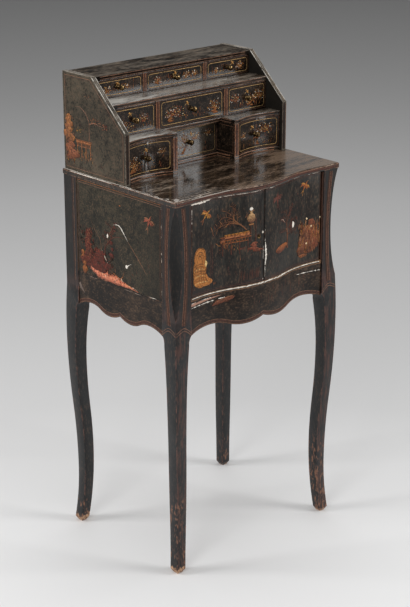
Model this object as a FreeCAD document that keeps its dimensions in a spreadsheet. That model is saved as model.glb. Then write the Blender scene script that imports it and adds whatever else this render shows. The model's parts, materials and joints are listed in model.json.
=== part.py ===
import FreeCAD, Part
import Sketcher
import math
import os
import re

# A bonheur du jour: a small lacquered writing desk on four cabriole legs, with a serpentine
# two-door cupboard under the writing top and a stepped nest of nine drawers standing on it.
# Millimetres, +Z up, the doors face -Y, and the origin is on the floor under the middle.

SIZES = {
    # Writing top
    "top_width": 424,
    "top_depth": 342.5,
    "top_height": 751,
    "top_thickness": 10,
    "top_chamfer": 1.5,
    "front_overhang": 4,
    "ear_advance": 4.5,
    "ear_lip": 1.5,
    # Serpentine front: a middle swell between two hollows
    "swell_depth": 19.7,
    "hollow_x": 130,
    # Legs, measured from the outermost plane of the knee
    "knee_swell": 1.5,
    "stile_inset": 2.5,
    "stile_width": 38,
    "collar_height": 520,
    "knee_height": 430,
    "shin_height": 118,
    "shin_hollow": 11.4,
    "toe_height": 8,
    "toe_kick": 6.6,
    "toe_taper": 4.5,
    "nook_height": 490,
    "nook_foot": 470,
    "nook_radius": 25,
    "flare_reach": 33.3,
    "calf_height": 365,
    "calf_reach": 27.4,
    "ankle_height": 155,
    "ankle_reach": 34.2,
    "foot_reach": 25.3,
    # Hollow on the outer corner of the front stiles
    "hollow_depth": 16,
    "hollow_radius": 20,
    "hollow_foot": 522,
    # Case panels and aprons
    "panel_setback": 1,
    "panel_thickness": 12,
    "back_panel_thickness": 10,
    "side_apron_thickness": 18,
    "back_apron_thickness": 16,
    "front_apron_thickness": 16,
    "apron_top": 553,
    "apron_end_drop": 68,
    "apron_crest_drop": 57.5,
    "apron_lobe_drop": 70.5,
    "apron_cusp_drop": 62,
    "back_apron_drop": 58,
    "tongue_length": 8,
    "tenon_shoulder": 3,
    "tenon_thickness": 9,
    "joint_clearance": 0.15,
    "floor_thickness": 6,
    # Doors, turning on pins let into the floor and the top
    "door_thickness": 14,
    "door_gap": 0.8,
    "seam_gap": 1.2,
    "pin_radius": 2.5,
    "pin_hold": 12,
    "pin_reach": 4.5,
    "pin_fit": 0.05,
    "pin_end": 0.4,
    # Lock on the left door
    "lock_width": 42,
    "lock_height": 52,
    "lock_thickness": 9,
    "lock_margin": 4,
    "lock_depth": 5.5,
    "keyhole_inset": 13,
    "keyhole_radius": 1.8,
    "escutcheon_radius": 4,
    "escutcheon_rise": 0.6,
    # Nest of drawers
    "nest_height": 189,
    "nest_end_setback": 4.5,
    "nest_setback": 1.5,
    "wing_thickness": 10.5,
    "wing_height": 98,
    "wing_depth": 183,
    "crest_depth": 86,
    "nest_back_thickness": 6,
    "nest_top_thickness": 8,
    "nest_top_recess": 1.5,
    "shelf_thickness": 8,
    "base_thickness": 7,
    "upper_tread": 142.5,
    "lower_tread": 79,
    "nose_rise": 3,
    "block_depth": 176,
    "block_hollow": 12,
    "block_inner": 74,
    "block_wall": 11,
    "centre_recess": 125,
    "middle_divider_x": 87.5,
    "middle_divider": 9,
    "upper_divider_x": 77,
    "upper_divider": 8,
    # Drawers
    "drawer_gap": 0.5,
    "drawer_setback": 0.8,
    "drawer_front": 9,
    "drawer_side": 5,
    "drawer_bottom": 4,
    "drawer_rear_gap": 4,
    "knob_radius": 5.8,
    "knob_length": 12,
    "knob_head": 5,
    "stem_radius": 2.4,
}

# Shares of a span, chosen by eye
SHARES = {
    "knee_curve_share": 0.53,
    "calf_curve_share": 0.476,
    "crest_share": 0.68,
    "lobe_share": 0.26,
    "scallop_curve_share": 0.5,
}

# Places worked out from the sizes
PLACES = {
    "knee_x": "top_width / 2 + knee_swell",
    "stile_x": "knee_x - stile_inset",
    "stile_in_x": "stile_x - stile_width",
    "half_depth": "(top_depth + knee_swell) / 2",
    "top_back_y": "half_depth - knee_swell",
    "top_under": "top_height - top_thickness",
    "swell_y": "front_overhang - half_depth",
    "hollow_y": "swell_y + swell_depth",
    "curve_radius": "(hollow_x^2 + swell_depth^2) / (4 * swell_depth)",
    "swell_centre_y": "swell_y + curve_radius",
    "hollow_centre_y": "hollow_y - curve_radius",
    "ear_y": "hollow_y - front_overhang - ear_advance",
    "ear_x": "hollow_x + sqrt((curve_radius - front_overhang)^2 - (ear_y - hollow_centre_y)^2)",
    "stile_front_y": "ear_y + ear_lip",
    "knee_front_y": "stile_front_y - stile_inset",
    "stile_back_y": "half_depth - stile_inset",
    "stile_in_front_y": "stile_front_y + stile_width",
    "stile_in_back_y": "stile_back_y - stile_width",
    "bend_x": "hollow_x / 2",
    "bend_y": "swell_y + swell_depth / 2",
    "panel_x": "stile_x - panel_setback",
    "panel_back_y": "stile_back_y - panel_setback",
    "apron_low": "apron_top - apron_lobe_drop",
    "floor_top": "apron_top + floor_thickness",
    "door_low": "floor_top + door_gap",
    "door_high": "top_under - door_gap",
    "pivot_x": "stile_in_x - door_gap - door_thickness / 2",
    "pivot_sine": "(pivot_x - hollow_x) / (curve_radius + door_thickness / 2)",
    "pivot_cosine": "sqrt(1 - pivot_sine^2)",
    "pivot_y": "hollow_centre_y + (curve_radius + door_thickness / 2) * pivot_cosine",
    "lock_z": "(door_low + door_high) / 2",
    "shin_toe": "shin_hollow - toe_kick",
    "nest_back_y": "top_back_y - nest_setback",
    "nest_in_y": "nest_back_y - nest_back_thickness",
    "nest_x": "top_width / 2 - nest_end_setback",
    "nest_in_x": "nest_x - wing_thickness",
    "nest_top": "top_height + nest_height",
    "nest_top_high": "nest_top - nest_top_recess",
    "nest_top_low": "nest_top_high - nest_top_thickness",
    "crest_y": "nest_back_y - crest_depth",
    "wing_y": "nest_back_y - wing_depth",
    "wing_slope": "(wing_depth - crest_depth) / (nest_height - wing_height)",
    "upper_tread_z": "top_height + upper_tread",
    "lower_tread_z": "top_height + lower_tread",
    "base_top": "top_height + base_thickness",
    "upper_nose_y": "crest_y - (nest_height - upper_tread) * wing_slope",
    "lower_nose_y": "upper_nose_y - nose_rise",
    "block_y": "nest_back_y - block_depth",
    "block_outer": "block_inner + block_wall",
    "block_span": "nest_in_x - block_outer",
    "block_radius": "(block_span^2 / 4 + block_hollow^2) / (2 * block_hollow)",
    "centre_y": "nest_back_y - centre_recess",
    "centre_base_y": "centre_y - nose_rise",
    "drawer_end_y": "nest_in_y - drawer_rear_gap",
    "lock_high_x": "-(seam_gap / 2 + lock_margin)",
    "lock_low_x": "lock_high_x - lock_width",
    "lock_front_y": "swell_y + lock_depth",
    "keyhole_x": "-(seam_gap / 2 + keyhole_inset)",
    "keyhole_y": "swell_centre_y - sqrt(curve_radius^2 - keyhole_x^2)",
}

doc = FreeCAD.newDocument("bonheur_du_jour")
sizes = doc.addObject("Spreadsheet::Sheet", "sizes")
for row, (name, number) in enumerate({**SIZES, **SHARES}.items(), start=1):
    sizes.set(f"A{row}", str(number))
    sizes.setAlias(f"A{row}", name)
doc.recompute()

PIECES = []


def bound(text):
    """An expression with every place spelled out and every size read from the sheet."""

    def spell(match):
        word = match.group()
        if word in PLACES:
            return f"({bound(PLACES[word])})"
        if word in SIZES or word in SHARES:
            return f"sizes.{word}"
        return word

    return re.sub(r"[a-z]\w*", spell, text)


def measure(text):
    """The number that an expression gives with the sizes as they stand."""
    return float(sizes.evalExpression(bound(text)))


def bind(item, **properties):
    """Ties properties of an object to expressions; a double underscore stands for a dot."""
    for name, text in properties.items():
        item.setExpression(name.replace("__", "."), bound(text))


def piece(item, label):
    """Marks an object as one finished piece of the desk."""
    item.Label = label
    PIECES.append(item)
    return item


def new_body(name):
    return doc.addObject("PartDesign::Body", name)


def arc_between(start, end, radius, turn):
    """The shorter arc from start to end; turn is 1 to the left and -1 to the right."""
    chord = end - start
    height = math.sqrt(radius**2 - (chord.Length / 2) ** 2)
    left = FreeCAD.Vector(-chord.y, chord.x, 0).normalize()
    centre = (start + end) / 2 + left * height * turn
    first, last = (start, end) if turn > 0 else (end, start)
    angles = [math.atan2(p.y - centre.y, p.x - centre.x) for p in (first, last)]
    circle = Part.Circle(centre, FreeCAD.Vector(0, 0, 1), radius)
    return Part.ArcOfCircle(circle, *angles)


def outline(body, plane, path, lift="0"):
    """A closed sketch on one of the body's own planes, raised by lift along its normal.

    Each step of the path is a corner (across, up), reached by a line, or (across, up, radius,
    turn), reached by an arc. Corners and radii are expressions, and each is a constraint."""
    sketch = body.newObject("Sketcher::SketchObject", f"{body.Name}_outline")
    support = [f for f in body.Origin.OriginFeatures if f.Role == plane]
    sketch.AttachmentSupport = [(support[0], "")]
    sketch.MapMode = "FlatFace"
    bind(sketch, AttachmentOffset__Base__z=lift)
    points = [FreeCAD.Vector(measure(step[0]), measure(step[1]), 0) for step in path]
    ends = []
    for index, step in enumerate(path):
        start, end = points[index - 1], points[index]
        if len(step) == 2:
            sketch.addGeometry(Part.LineSegment(start, end), False)
            ends.append((1, 2))
        else:
            turn = step[3]
            sketch.addGeometry(arc_between(start, end, measure(step[2]), turn), False)
            ends.append((1, 2) if turn > 0 else (2, 1))
    for index, step in enumerate(path):
        before = (index - 1) % len(path)
        joined = Sketcher.Constraint("Coincident", before, ends[before][1], index, ends[index][0])
        sketch.addConstraint(joined)
        limits = [("DistanceX", step[0], points[index].x), ("DistanceY", step[1], points[index].y)]
        for kind, text, number in limits:
            place = Sketcher.Constraint(kind, -1, 1, index, ends[index][1], number)
            sketch.setExpression(f"Constraints[{sketch.addConstraint(place)}]", bound(text))
        if len(step) > 2:
            rounding = Sketcher.Constraint("Radius", index, measure(step[2]))
            sketch.setExpression(f"Constraints[{sketch.addConstraint(rounding)}]", bound(step[2]))
    return sketch


def padded(name, plane, path, length, lift="0", middle=False):
    """A body made by padding one outline along its plane's normal."""
    body = new_body(name)
    sketch = outline(body, plane, path, lift)
    pad = body.newObject("PartDesign::Pad", f"{name}_pad")
    pad.Profile = sketch
    pad.Midplane = middle
    bind(pad, Length=length)
    return body


def board(name, low, high, grow="0"):
    """A straight board between two corners, larger all round by grow where it is a cutter."""
    box = doc.addObject("Part::Box", name)
    for axis, side, a, b in zip("xyz", ("Length", "Width", "Height"), low, high):
        box.setExpression(f"Placement.Base.{axis}", bound(f"({a}) - {grow}"))
        box.setExpression(side, bound(f"({b}) - ({a}) + 2 * {grow}"))
    return box


def rod(name, x, y, z, radius, length, along="z"):
    """A round pin or drill from (x, y, z) along +Z, or along +Y."""
    pin = doc.addObject("Part::Cylinder", name)
    if along == "y":
        pin.Placement.Rotation = FreeCAD.Rotation(FreeCAD.Vector(1, 0, 0), -90)
    bind(pin, Placement__Base__x=x, Placement__Base__y=y, Placement__Base__z=z)
    bind(pin, Radius=radius, Height=length)
    return pin


def together(name, items):
    group = doc.addObject("Part::Compound", name)
    group.Links = items
    return group


def cut(name, base, *cutters):
    result = doc.addObject("Part::Cut", name)
    result.Base = base
    result.Tool = cutters[0] if len(cutters) == 1 else together(f"{name}_cutters", list(cutters))
    return result


def common(name, first, second):
    result = doc.addObject("Part::Common", name)
    result.Base = first
    result.Tool = second
    return result


def mirrored(name, source):
    """The same piece on the other side of the desk's middle plane."""
    result = doc.addObject("Part::Mirroring", name)
    result.Source = source
    result.Normal = FreeCAD.Vector(1, 0, 0)
    return result


def between(a, b, share):
    return f"({a}) + {share} * (({b}) - ({a}))"


def ogee(a, b, share, span, rise, turn):
    """Two tangent arcs from a to b, square at both ends to the rise between them."""
    joint = [between(a[0], b[0], share), between(a[1], b[1], share)]
    radius = f"(({span})^2 + ({rise})^2) / (2 * ({rise}))"
    return [(*joint, f"{share} * {radius}", turn), (*b, f"(1 - {share}) * {radius}", -turn)]


def arch(b, span, rise, turn):
    """One arc to b, square to the rise at one end."""
    return (*b, f"(({span})^2 + ({rise})^2) / (2 * ({rise}))", turn)


# Legs: one curved outline sawn through a square post from two sides
def leg_outline(outer, inward):
    """The leg seen from one side; outer is its knee plane and inward is + or -."""

    def at(reach, height):
        return f"{outer} {inward} ({reach})", height

    left = 1 if inward == "+" else -1
    calf = at("calf_reach", "calf_height")
    ankle = at("ankle_reach", "ankle_height")
    shin = at("shin_hollow", "shin_height")
    knee = at("0", "knee_height")
    calf_span, calf_rise = "calf_height - ankle_height", "ankle_reach - calf_reach"
    return [
        at("shin_toe + toe_taper", "0"),
        at("foot_reach - toe_taper", "0"),
        at("foot_reach", "toe_height"),
        arch(ankle, "ankle_height - toe_height", "ankle_reach - foot_reach", left),
        *ogee(ankle, calf, "calf_curve_share", calf_span, calf_rise, left),
        arch(at("flare_reach", "nook_foot"), "nook_foot - calf_height", "flare_reach - calf_reach", -left),
        (*at("stile_inset + stile_width", "nook_height"), "nook_radius", -left),
        at("stile_inset + stile_width", "top_under"),
        at("stile_inset", "top_under"),
        at("stile_inset", "collar_height"),
        arch(knee, "collar_height - knee_height", "stile_inset", left),
        *ogee(knee, shin, "knee_curve_share", "knee_height - shin_height", "shin_hollow", left),
        arch(at("shin_toe", "toe_height"), "shin_height - toe_height", "toe_kick", -left),
    ]


side_saw = padded("leg_side_saw", "XZ_Plane", leg_outline("-knee_x", "+"), "4 * half_depth", middle=True)
front_saw = padded("leg_front_saw", "YZ_Plane", leg_outline("knee_front_y", "+"), "4 * knee_x", middle=True)
back_saw = padded("leg_back_saw", "YZ_Plane", leg_outline("half_depth", "-"), "4 * knee_x", middle=True)

# Boards that run in grooves in the legs: side panels, back panel and the aprons' ends
side_y = ("stile_in_front_y - tongue_length", "stile_in_back_y + tongue_length")
side_panel_low = ("-panel_x", side_y[0], "apron_top")
side_panel_high = ("-panel_x + panel_thickness", side_y[1], "top_under")
side_apron_low = ("-panel_x", side_y[0], "apron_top - apron_end_drop")
side_apron_high = ("-panel_x + side_apron_thickness", side_y[1], "apron_top")
back_x = ("-stile_in_x - tongue_length", "stile_in_x + tongue_length")
back_panel_low = (back_x[0], "panel_back_y - back_panel_thickness", "apron_top")
back_panel_high = (back_x[1], "panel_back_y", "top_under")
back_apron_low = (back_x[0], "panel_back_y - back_apron_thickness", "apron_top - back_apron_drop")
back_apron_high = (back_x[1], "panel_back_y", "apron_top")
front_end_y = "hollow_centre_y + sqrt(curve_radius^2 - (stile_in_x - hollow_x)^2)"
apron_back_radius = "curve_radius + front_apron_thickness"
front_back_y = f"hollow_centre_y + sqrt(({apron_back_radius})^2 - (stile_in_x - hollow_x)^2)"
tenon_front_y = f"{front_end_y} + tenon_shoulder"
tenon_back_y = f"{tenon_front_y} + tenon_thickness"
tenon_low = ("-stile_in_x - tongue_length", tenon_front_y, "apron_top - apron_end_drop")
tenon_high = ("-stile_in_x", tenon_back_y, "apron_top")

side_grooves = [
    board("side_panel_groove", side_panel_low, side_panel_high, "joint_clearance"),
    board("side_apron_groove", side_apron_low, side_apron_high, "joint_clearance"),
]
back_grooves = [
    board("back_panel_groove", back_panel_low, back_panel_high, "joint_clearance"),
    board("back_apron_groove", back_apron_low, back_apron_high, "joint_clearance"),
]
tenon_mortise = board("tenon_mortise", tenon_low, tenon_high, "joint_clearance")

# The hollow on a front stile's outer corner, cut by a wheel with a round rim
wheel_radius = "(((top_under - hollow_foot) / 2)^2 + hollow_depth^2) / (2 * hollow_depth)"
wheel_out = f"(hollow_depth - {wheel_radius}) / sqrt(2)"
wheel = doc.addObject("Part::Torus", "stile_hollow_wheel")
wheel.Placement.Rotation = FreeCAD.Rotation(FreeCAD.Vector(1, 1, 0), 90)
bind(wheel, Radius1=f"{wheel_radius} - hollow_radius", Radius2="hollow_radius")
bind(wheel, Placement__Base__x=f"-stile_x + {wheel_out}")
bind(wheel, Placement__Base__y=f"stile_front_y + {wheel_out}")
bind(wheel, Placement__Base__z="(top_under + hollow_foot) / 2")

front_post = common("front_post", side_saw, front_saw)
back_post = common("back_post", side_saw, back_saw)
leg_front = cut("leg_front_left", front_post, wheel, tenon_mortise, *side_grooves)
leg_back = cut("leg_back_left", back_post, *side_grooves, *back_grooves)
piece(leg_front, "leg_front_left")
piece(mirrored("leg_front_right", leg_front), "leg_front_right")
piece(leg_back, "leg_back_left")
piece(mirrored("leg_back_right", leg_back), "leg_back_right")


# Aprons with a lower edge of two arches, two lobes and a pointed middle
def scallop(middle, half):
    """The lower edge from the low end to the high end, as (across, up) steps."""

    def at(share, drop):
        return f"{middle} + ({share}) * ({half})", f"apron_top - {drop}"

    crest_span = f"({half}) * (1 - crest_share)"
    ogee_span = f"({half}) * (crest_share - lobe_share)"
    lobe_span = f"({half}) * lobe_share"
    end_rise = "apron_end_drop - apron_crest_drop"
    ogee_rise = "apron_lobe_drop - apron_crest_drop"
    lobe_rise = "apron_lobe_drop - apron_cusp_drop"
    crests = [at(f"{sign}crest_share", "apron_crest_drop") for sign in "-+"]
    lobes = [at(f"{sign}lobe_share", "apron_lobe_drop") for sign in "-+"]
    return [
        at("-1", "apron_end_drop"),
        arch(crests[0], crest_span, end_rise, -1),
        *ogee(crests[0], lobes[0], "scallop_curve_share", ogee_span, ogee_rise, -1),
        arch(at("0", "apron_cusp_drop"), lobe_span, lobe_rise, 1),
        arch(lobes[1], lobe_span, lobe_rise, 1),
        *ogee(lobes[1], crests[1], "scallop_curve_share", ogee_span, ogee_rise, 1),
        arch(at("1", "apron_end_drop"), crest_span, end_rise, -1),
    ]


side_middle = "(stile_in_front_y + stile_in_back_y) / 2"
side_half = "(stile_in_back_y - stile_in_front_y) / 2"
side_apron_path = [
    (side_y[0], "apron_top - apron_end_drop"),
    *scallop(side_middle, side_half),
    (side_y[1], "apron_top - apron_end_drop"),
    (side_y[1], "apron_top"),
    (side_y[0], "apron_top"),
]
side_apron = padded("side_apron_left", "YZ_Plane", side_apron_path, "side_apron_thickness", lift="-panel_x")
piece(side_apron, "side_apron_left")
piece(mirrored("side_apron_right", side_apron), "side_apron_right")


def front_curve(offset, first, last, heading):
    """Steps along the serpentine front, offset backwards, from hollow to hollow.

    first and last are the end places, and heading is 1 towards +X and -1 back again."""
    swell = f"curve_radius - ({offset})"
    hollow = f"curve_radius + ({offset})"
    bend_y = f"swell_centre_y + (bend_y - swell_centre_y) * ({swell}) / curve_radius"
    bend_x = f"bend_x * ({swell}) / curve_radius"
    near, far = ("-", "") if heading > 0 else ("", "-")
    return [
        first,
        (f"{near}({bend_x})", bend_y, hollow, -heading),
        (f"{far}({bend_x})", bend_y, swell, heading),
        (*last, hollow, -heading),
    ]


front_apron_plan = [
    *front_curve("0", ("-stile_in_x", front_end_y), ("stile_in_x", front_end_y), 1),
    ("stile_in_x", tenon_front_y),
    ("stile_in_x + tongue_length", tenon_front_y),
    ("stile_in_x + tongue_length", tenon_back_y),
    ("stile_in_x", tenon_back_y),
    *front_curve("front_apron_thickness", ("stile_in_x", front_back_y), ("-stile_in_x", front_back_y), -1),
    ("-stile_in_x", tenon_back_y),
    ("-stile_in_x - tongue_length", tenon_back_y),
    ("-stile_in_x - tongue_length", tenon_front_y),
    ("-stile_in_x", tenon_front_y),
]
front_apron_face = [
    ("-stile_in_x - tongue_length", "apron_top - apron_end_drop"),
    *scallop("0", "stile_in_x"),
    ("stile_in_x + tongue_length", "apron_top - apron_end_drop"),
    ("stile_in_x + tongue_length", "apron_top"),
    ("-stile_in_x - tongue_length", "apron_top"),
]
apron_band = padded("front_apron_band", "XY_Plane", front_apron_plan, "apron_lobe_drop", lift="apron_low")
apron_saw = padded("front_apron_saw", "XZ_Plane", front_apron_face, "4 * half_depth", middle=True)
piece(common("front_apron", apron_band, apron_saw), "front_apron")
piece(board("back_apron", back_apron_low, back_apron_high), "back_apron")

# Side panels, back panel and the cupboard floor, which lies on the aprons
side_panel = piece(board("side_panel_left", side_panel_low, side_panel_high), "side_panel_left")
piece(mirrored("side_panel_right", side_panel), "side_panel_right")
piece(board("back_panel", back_panel_low, back_panel_high), "back_panel")

floor_x = "stile_in_x - joint_clearance"
floor_end_y = f"hollow_centre_y + sqrt(curve_radius^2 - ({floor_x} - hollow_x)^2)"
floor_side_x = "panel_x - panel_thickness - joint_clearance"
floor_front_y = "stile_in_front_y + joint_clearance"
floor_rear_y = "stile_in_back_y - joint_clearance"
floor_back_y = "panel_back_y - back_panel_thickness - joint_clearance"
floor_path = [
    *front_curve("0", (f"-({floor_x})", floor_end_y), (floor_x, floor_end_y), 1),
    (floor_x, floor_front_y),
    (floor_side_x, floor_front_y),
    (floor_side_x, floor_rear_y),
    (floor_x, floor_rear_y),
    (floor_x, floor_back_y),
    (f"-({floor_x})", floor_back_y),
    (f"-({floor_x})", floor_rear_y),
    (f"-({floor_side_x})", floor_rear_y),
    (f"-({floor_side_x})", floor_front_y),
    (f"-({floor_x})", floor_front_y),
]
floor_board = padded("case_floor_board", "XY_Plane", floor_path, "floor_thickness", lift="apron_top")


def pivot_hole(name, side, z, depth):
    return rod(name, f"{side}pivot_x", "pivot_y", z, "pin_radius + pin_fit", depth)


floor_holes = [
    pivot_hole("floor_pivot_left", "-", "apron_top", "floor_thickness"),
    pivot_hole("floor_pivot_right", "", "apron_top", "floor_thickness"),
]
piece(cut("case_floor", floor_board, *floor_holes), "case_floor")

# Writing top, with its front edge a step outside the doors and square ears over the stiles
top_path = [
    ("-top_width / 2", "ear_y"),
    *front_curve("-front_overhang", ("-ear_x", "ear_y"), ("ear_x", "ear_y"), 1),
    ("top_width / 2", "ear_y"),
    ("top_width / 2", "top_back_y"),
    ("-top_width / 2", "top_back_y"),
]
top_board = padded("table_top_board", "XY_Plane", top_path, "top_thickness", lift="top_under")
doc.recompute()
top_pad = top_board.Tip
faces = enumerate(top_pad.Shape.Faces, start=1)
upper_face = max(faces, key=lambda item: item[1].CenterOfMass.z)[0]
eased = top_board.newObject("PartDesign::Chamfer", "table_top_eased")
eased.Base = (top_pad, [f"Face{upper_face}"])
bind(eased, Size="top_chamfer")
top_holes = [
    pivot_hole("top_pivot_left", "-", "top_under", "pin_reach + pin_end"),
    pivot_hole("top_pivot_right", "", "top_under", "pin_reach + pin_end"),
]
piece(cut("table_top", top_board, *top_holes), "table_top")

# Doors: serpentine boards with a rounded hanging edge about the pins
door_end = "hollow_centre_y + {} * pivot_cosine"
door_back_swell = "curve_radius - door_thickness"
door_back_hollow = "curve_radius + door_thickness"
seam_y = "swell_centre_y - sqrt(({})^2 - (seam_gap / 2)^2)"
door_path = [
    ("seam_gap / 2", seam_y.format("curve_radius")),
    ("bend_x", "bend_y", "curve_radius", 1),
    ("hollow_x + curve_radius * pivot_sine", door_end.format("curve_radius"), "curve_radius", -1),
    (
        "pivot_x + door_thickness / 2 * pivot_cosine",
        "pivot_y - door_thickness / 2 * pivot_sine",
        "door_thickness / 2",
        1,
    ),
    (
        f"hollow_x + ({door_back_hollow}) * pivot_sine",
        door_end.format(f"({door_back_hollow})"),
        "door_thickness / 2",
        1,
    ),
    (
        f"bend_x * ({door_back_swell}) / curve_radius",
        f"swell_centre_y + (bend_y - swell_centre_y) * ({door_back_swell}) / curve_radius",
        door_back_hollow,
        1,
    ),
    ("seam_gap / 2", seam_y.format(door_back_swell), door_back_swell, -1),
]
door_board = padded("door_board", "XY_Plane", door_path, "door_high - door_low", lift="door_low")
door_holes = [
    pivot_hole("door_pivot_low", "", "door_low", "pin_hold"),
    pivot_hole("door_pivot_high", "", "door_high - pin_hold", "pin_hold"),
]
door_right = cut("door_right", door_board, *door_holes)
piece(door_right, "door_right")

low_pin_length = "door_low - apron_top - pin_end + pin_hold"
high_pin_length = "pin_hold + door_gap + pin_reach"
pins = [
    rod("pin_low", "pivot_x", "pivot_y", "apron_top + pin_end", "pin_radius", low_pin_length),
    rod("pin_high", "pivot_x", "pivot_y", "door_high - pin_hold", "pin_radius", high_pin_length),
]
right_pins = piece(together("door_pins_right", pins), "door_pins_right")
piece(mirrored("door_pins_left", right_pins), "door_pins_left")

# The left door also carries the lock, let into its back, and a pierced keyhole
lock_low = ("lock_low_x", "lock_front_y", "lock_z - lock_height / 2")
lock_high = ("lock_high_x", "lock_front_y + lock_thickness", "lock_z + lock_height / 2")
lock_case = board("lock_case", lock_low, lock_high)
lock_room_high = (lock_high[0], "swell_y + swell_depth + door_thickness", lock_high[2])
lock_room = board("lock_room", lock_low, lock_room_high, "joint_clearance")
escutcheon_y = "keyhole_y - escutcheon_rise"
escutcheon_room = rod(
    "escutcheon_room", "keyhole_x", escutcheon_y, "lock_z",
    "escutcheon_radius + pin_fit", f"lock_front_y - ({escutcheon_y})", "y",
)
escutcheon_disc = rod(
    "escutcheon_disc", "keyhole_x", escutcheon_y, "lock_z",
    "escutcheon_radius", f"lock_front_y - joint_clearance - ({escutcheon_y})", "y",
)


def keyhole(name):
    return rod(
        name, "keyhole_x", escutcheon_y, "lock_z",
        "keyhole_radius", f"lock_front_y + lock_thickness - ({escutcheon_y})", "y",
    )


door_left = cut("door_left", mirrored("door_left_board", door_right), lock_room, escutcheon_room)
piece(door_left, "door_left")
piece(cut("door_lock", lock_case, keyhole("lock_keyhole")), "door_lock")
piece(cut("keyhole_escutcheon", escutcheon_disc, keyhole("escutcheon_keyhole")), "keyhole_escutcheon")

# Nest of drawers: wings, back, crest board, two treads and a base
wing_path = [
    ("nest_back_y", "top_height"),
    ("nest_back_y", "nest_top"),
    ("crest_y", "nest_top"),
    ("wing_y", "top_height + wing_height"),
    ("wing_y", "top_height"),
]
wing = padded("nest_wing_left", "YZ_Plane", wing_path, "wing_thickness", lift="-nest_x")
piece(wing, "nest_wing_left")
piece(mirrored("nest_wing_right", wing), "nest_wing_right")
NEST_BOARDS = {
    "nest_back": ("nest_in_y", "nest_back_y", "top_height", "nest_top_low"),
    "nest_top": ("crest_y", "nest_back_y", "nest_top_low", "nest_top_high"),
    "upper_tread_board": ("upper_nose_y", "nest_in_y", "upper_tread_z - shelf_thickness", "upper_tread_z"),
}
for label, (front_y, rear_y, low, high) in NEST_BOARDS.items():
    piece(board(label, ("-nest_in_x", front_y, low), ("nest_in_x", rear_y, high)), label)


def block_plan(middle_y):
    """The plan of the lower tier: a hollow-fronted block at each side of a set-back middle."""
    return [
        ("-nest_in_x", "nest_in_y"),
        ("-nest_in_x", "block_y"),
        ("-block_outer", "block_y", "block_radius", -1),
        ("-block_inner", "block_y"),
        ("-block_inner", middle_y),
        ("block_inner", middle_y),
        ("block_inner", "block_y"),
        ("block_outer", "block_y"),
        ("nest_in_x", "block_y", "block_radius", -1),
        ("nest_in_x", "nest_in_y"),
    ]


tread_plan, base_plan = block_plan("lower_nose_y"), block_plan("centre_base_y")
tread_lift = "lower_tread_z - shelf_thickness"
lower_tread = padded("lower_tread_board", "XY_Plane", tread_plan, "shelf_thickness", lift=tread_lift)
piece(lower_tread, "lower_tread_board")
nest_base = padded("nest_base", "XY_Plane", base_plan, "base_thickness", lift="top_height")
piece(nest_base, "nest_base")


def dividers(label, inner_x, outer_x, front_y, low, high):
    """A pair of upright boards, alike on both sides of the middle."""
    right = board(f"{label}_r", (inner_x, front_y, low), (outer_x, "nest_in_y", high))
    left = board(f"{label}_l", (f"-({outer_x})", front_y, low), (f"-({inner_x})", "nest_in_y", high))
    piece(together(label, [left, right]), label)


upper_span = ("upper_tread_z", "nest_top_low")
middle_span = ("lower_tread_z", "upper_tread_z - shelf_thickness")
lower_span = ("base_top", "lower_tread_z - shelf_thickness")
upper_edges = ("upper_divider_x - upper_divider / 2", "upper_divider_x + upper_divider / 2")
middle_edges = ("middle_divider_x - middle_divider / 2", "middle_divider_x + middle_divider / 2")
lower_edges = ("block_inner", "block_outer")
dividers("upper_dividers", *upper_edges, "crest_y", *upper_span)
dividers("middle_dividers", *middle_edges, "upper_nose_y", *middle_span)
dividers("lower_dividers", *lower_edges, "block_y", *lower_span)


# Drawers, each a front with a box of four boards behind it and a turned knob
def knob(name, x, y, z):
    """A brass button knob turned about Y: a round head on a stem that is driven into the front."""
    path = [
        ("0", "-knob_length"),
        ("knob_radius", "-knob_length"),
        ("knob_radius", "knob_head - knob_length"),
        ("stem_radius", "knob_head - knob_length"),
        ("stem_radius", "drawer_front"),
        ("0", "drawer_front"),
    ]
    body = new_body(name)
    sketch = outline(body, "XY_Plane", path)
    turned = body.newObject("PartDesign::Revolution", f"{name}_turned")
    turned.Profile = sketch
    turned.ReferenceAxis = (sketch, ["V_Axis"])
    bind(body, Placement__Base__x=x, Placement__Base__y=y, Placement__Base__z=z)
    return body


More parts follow.
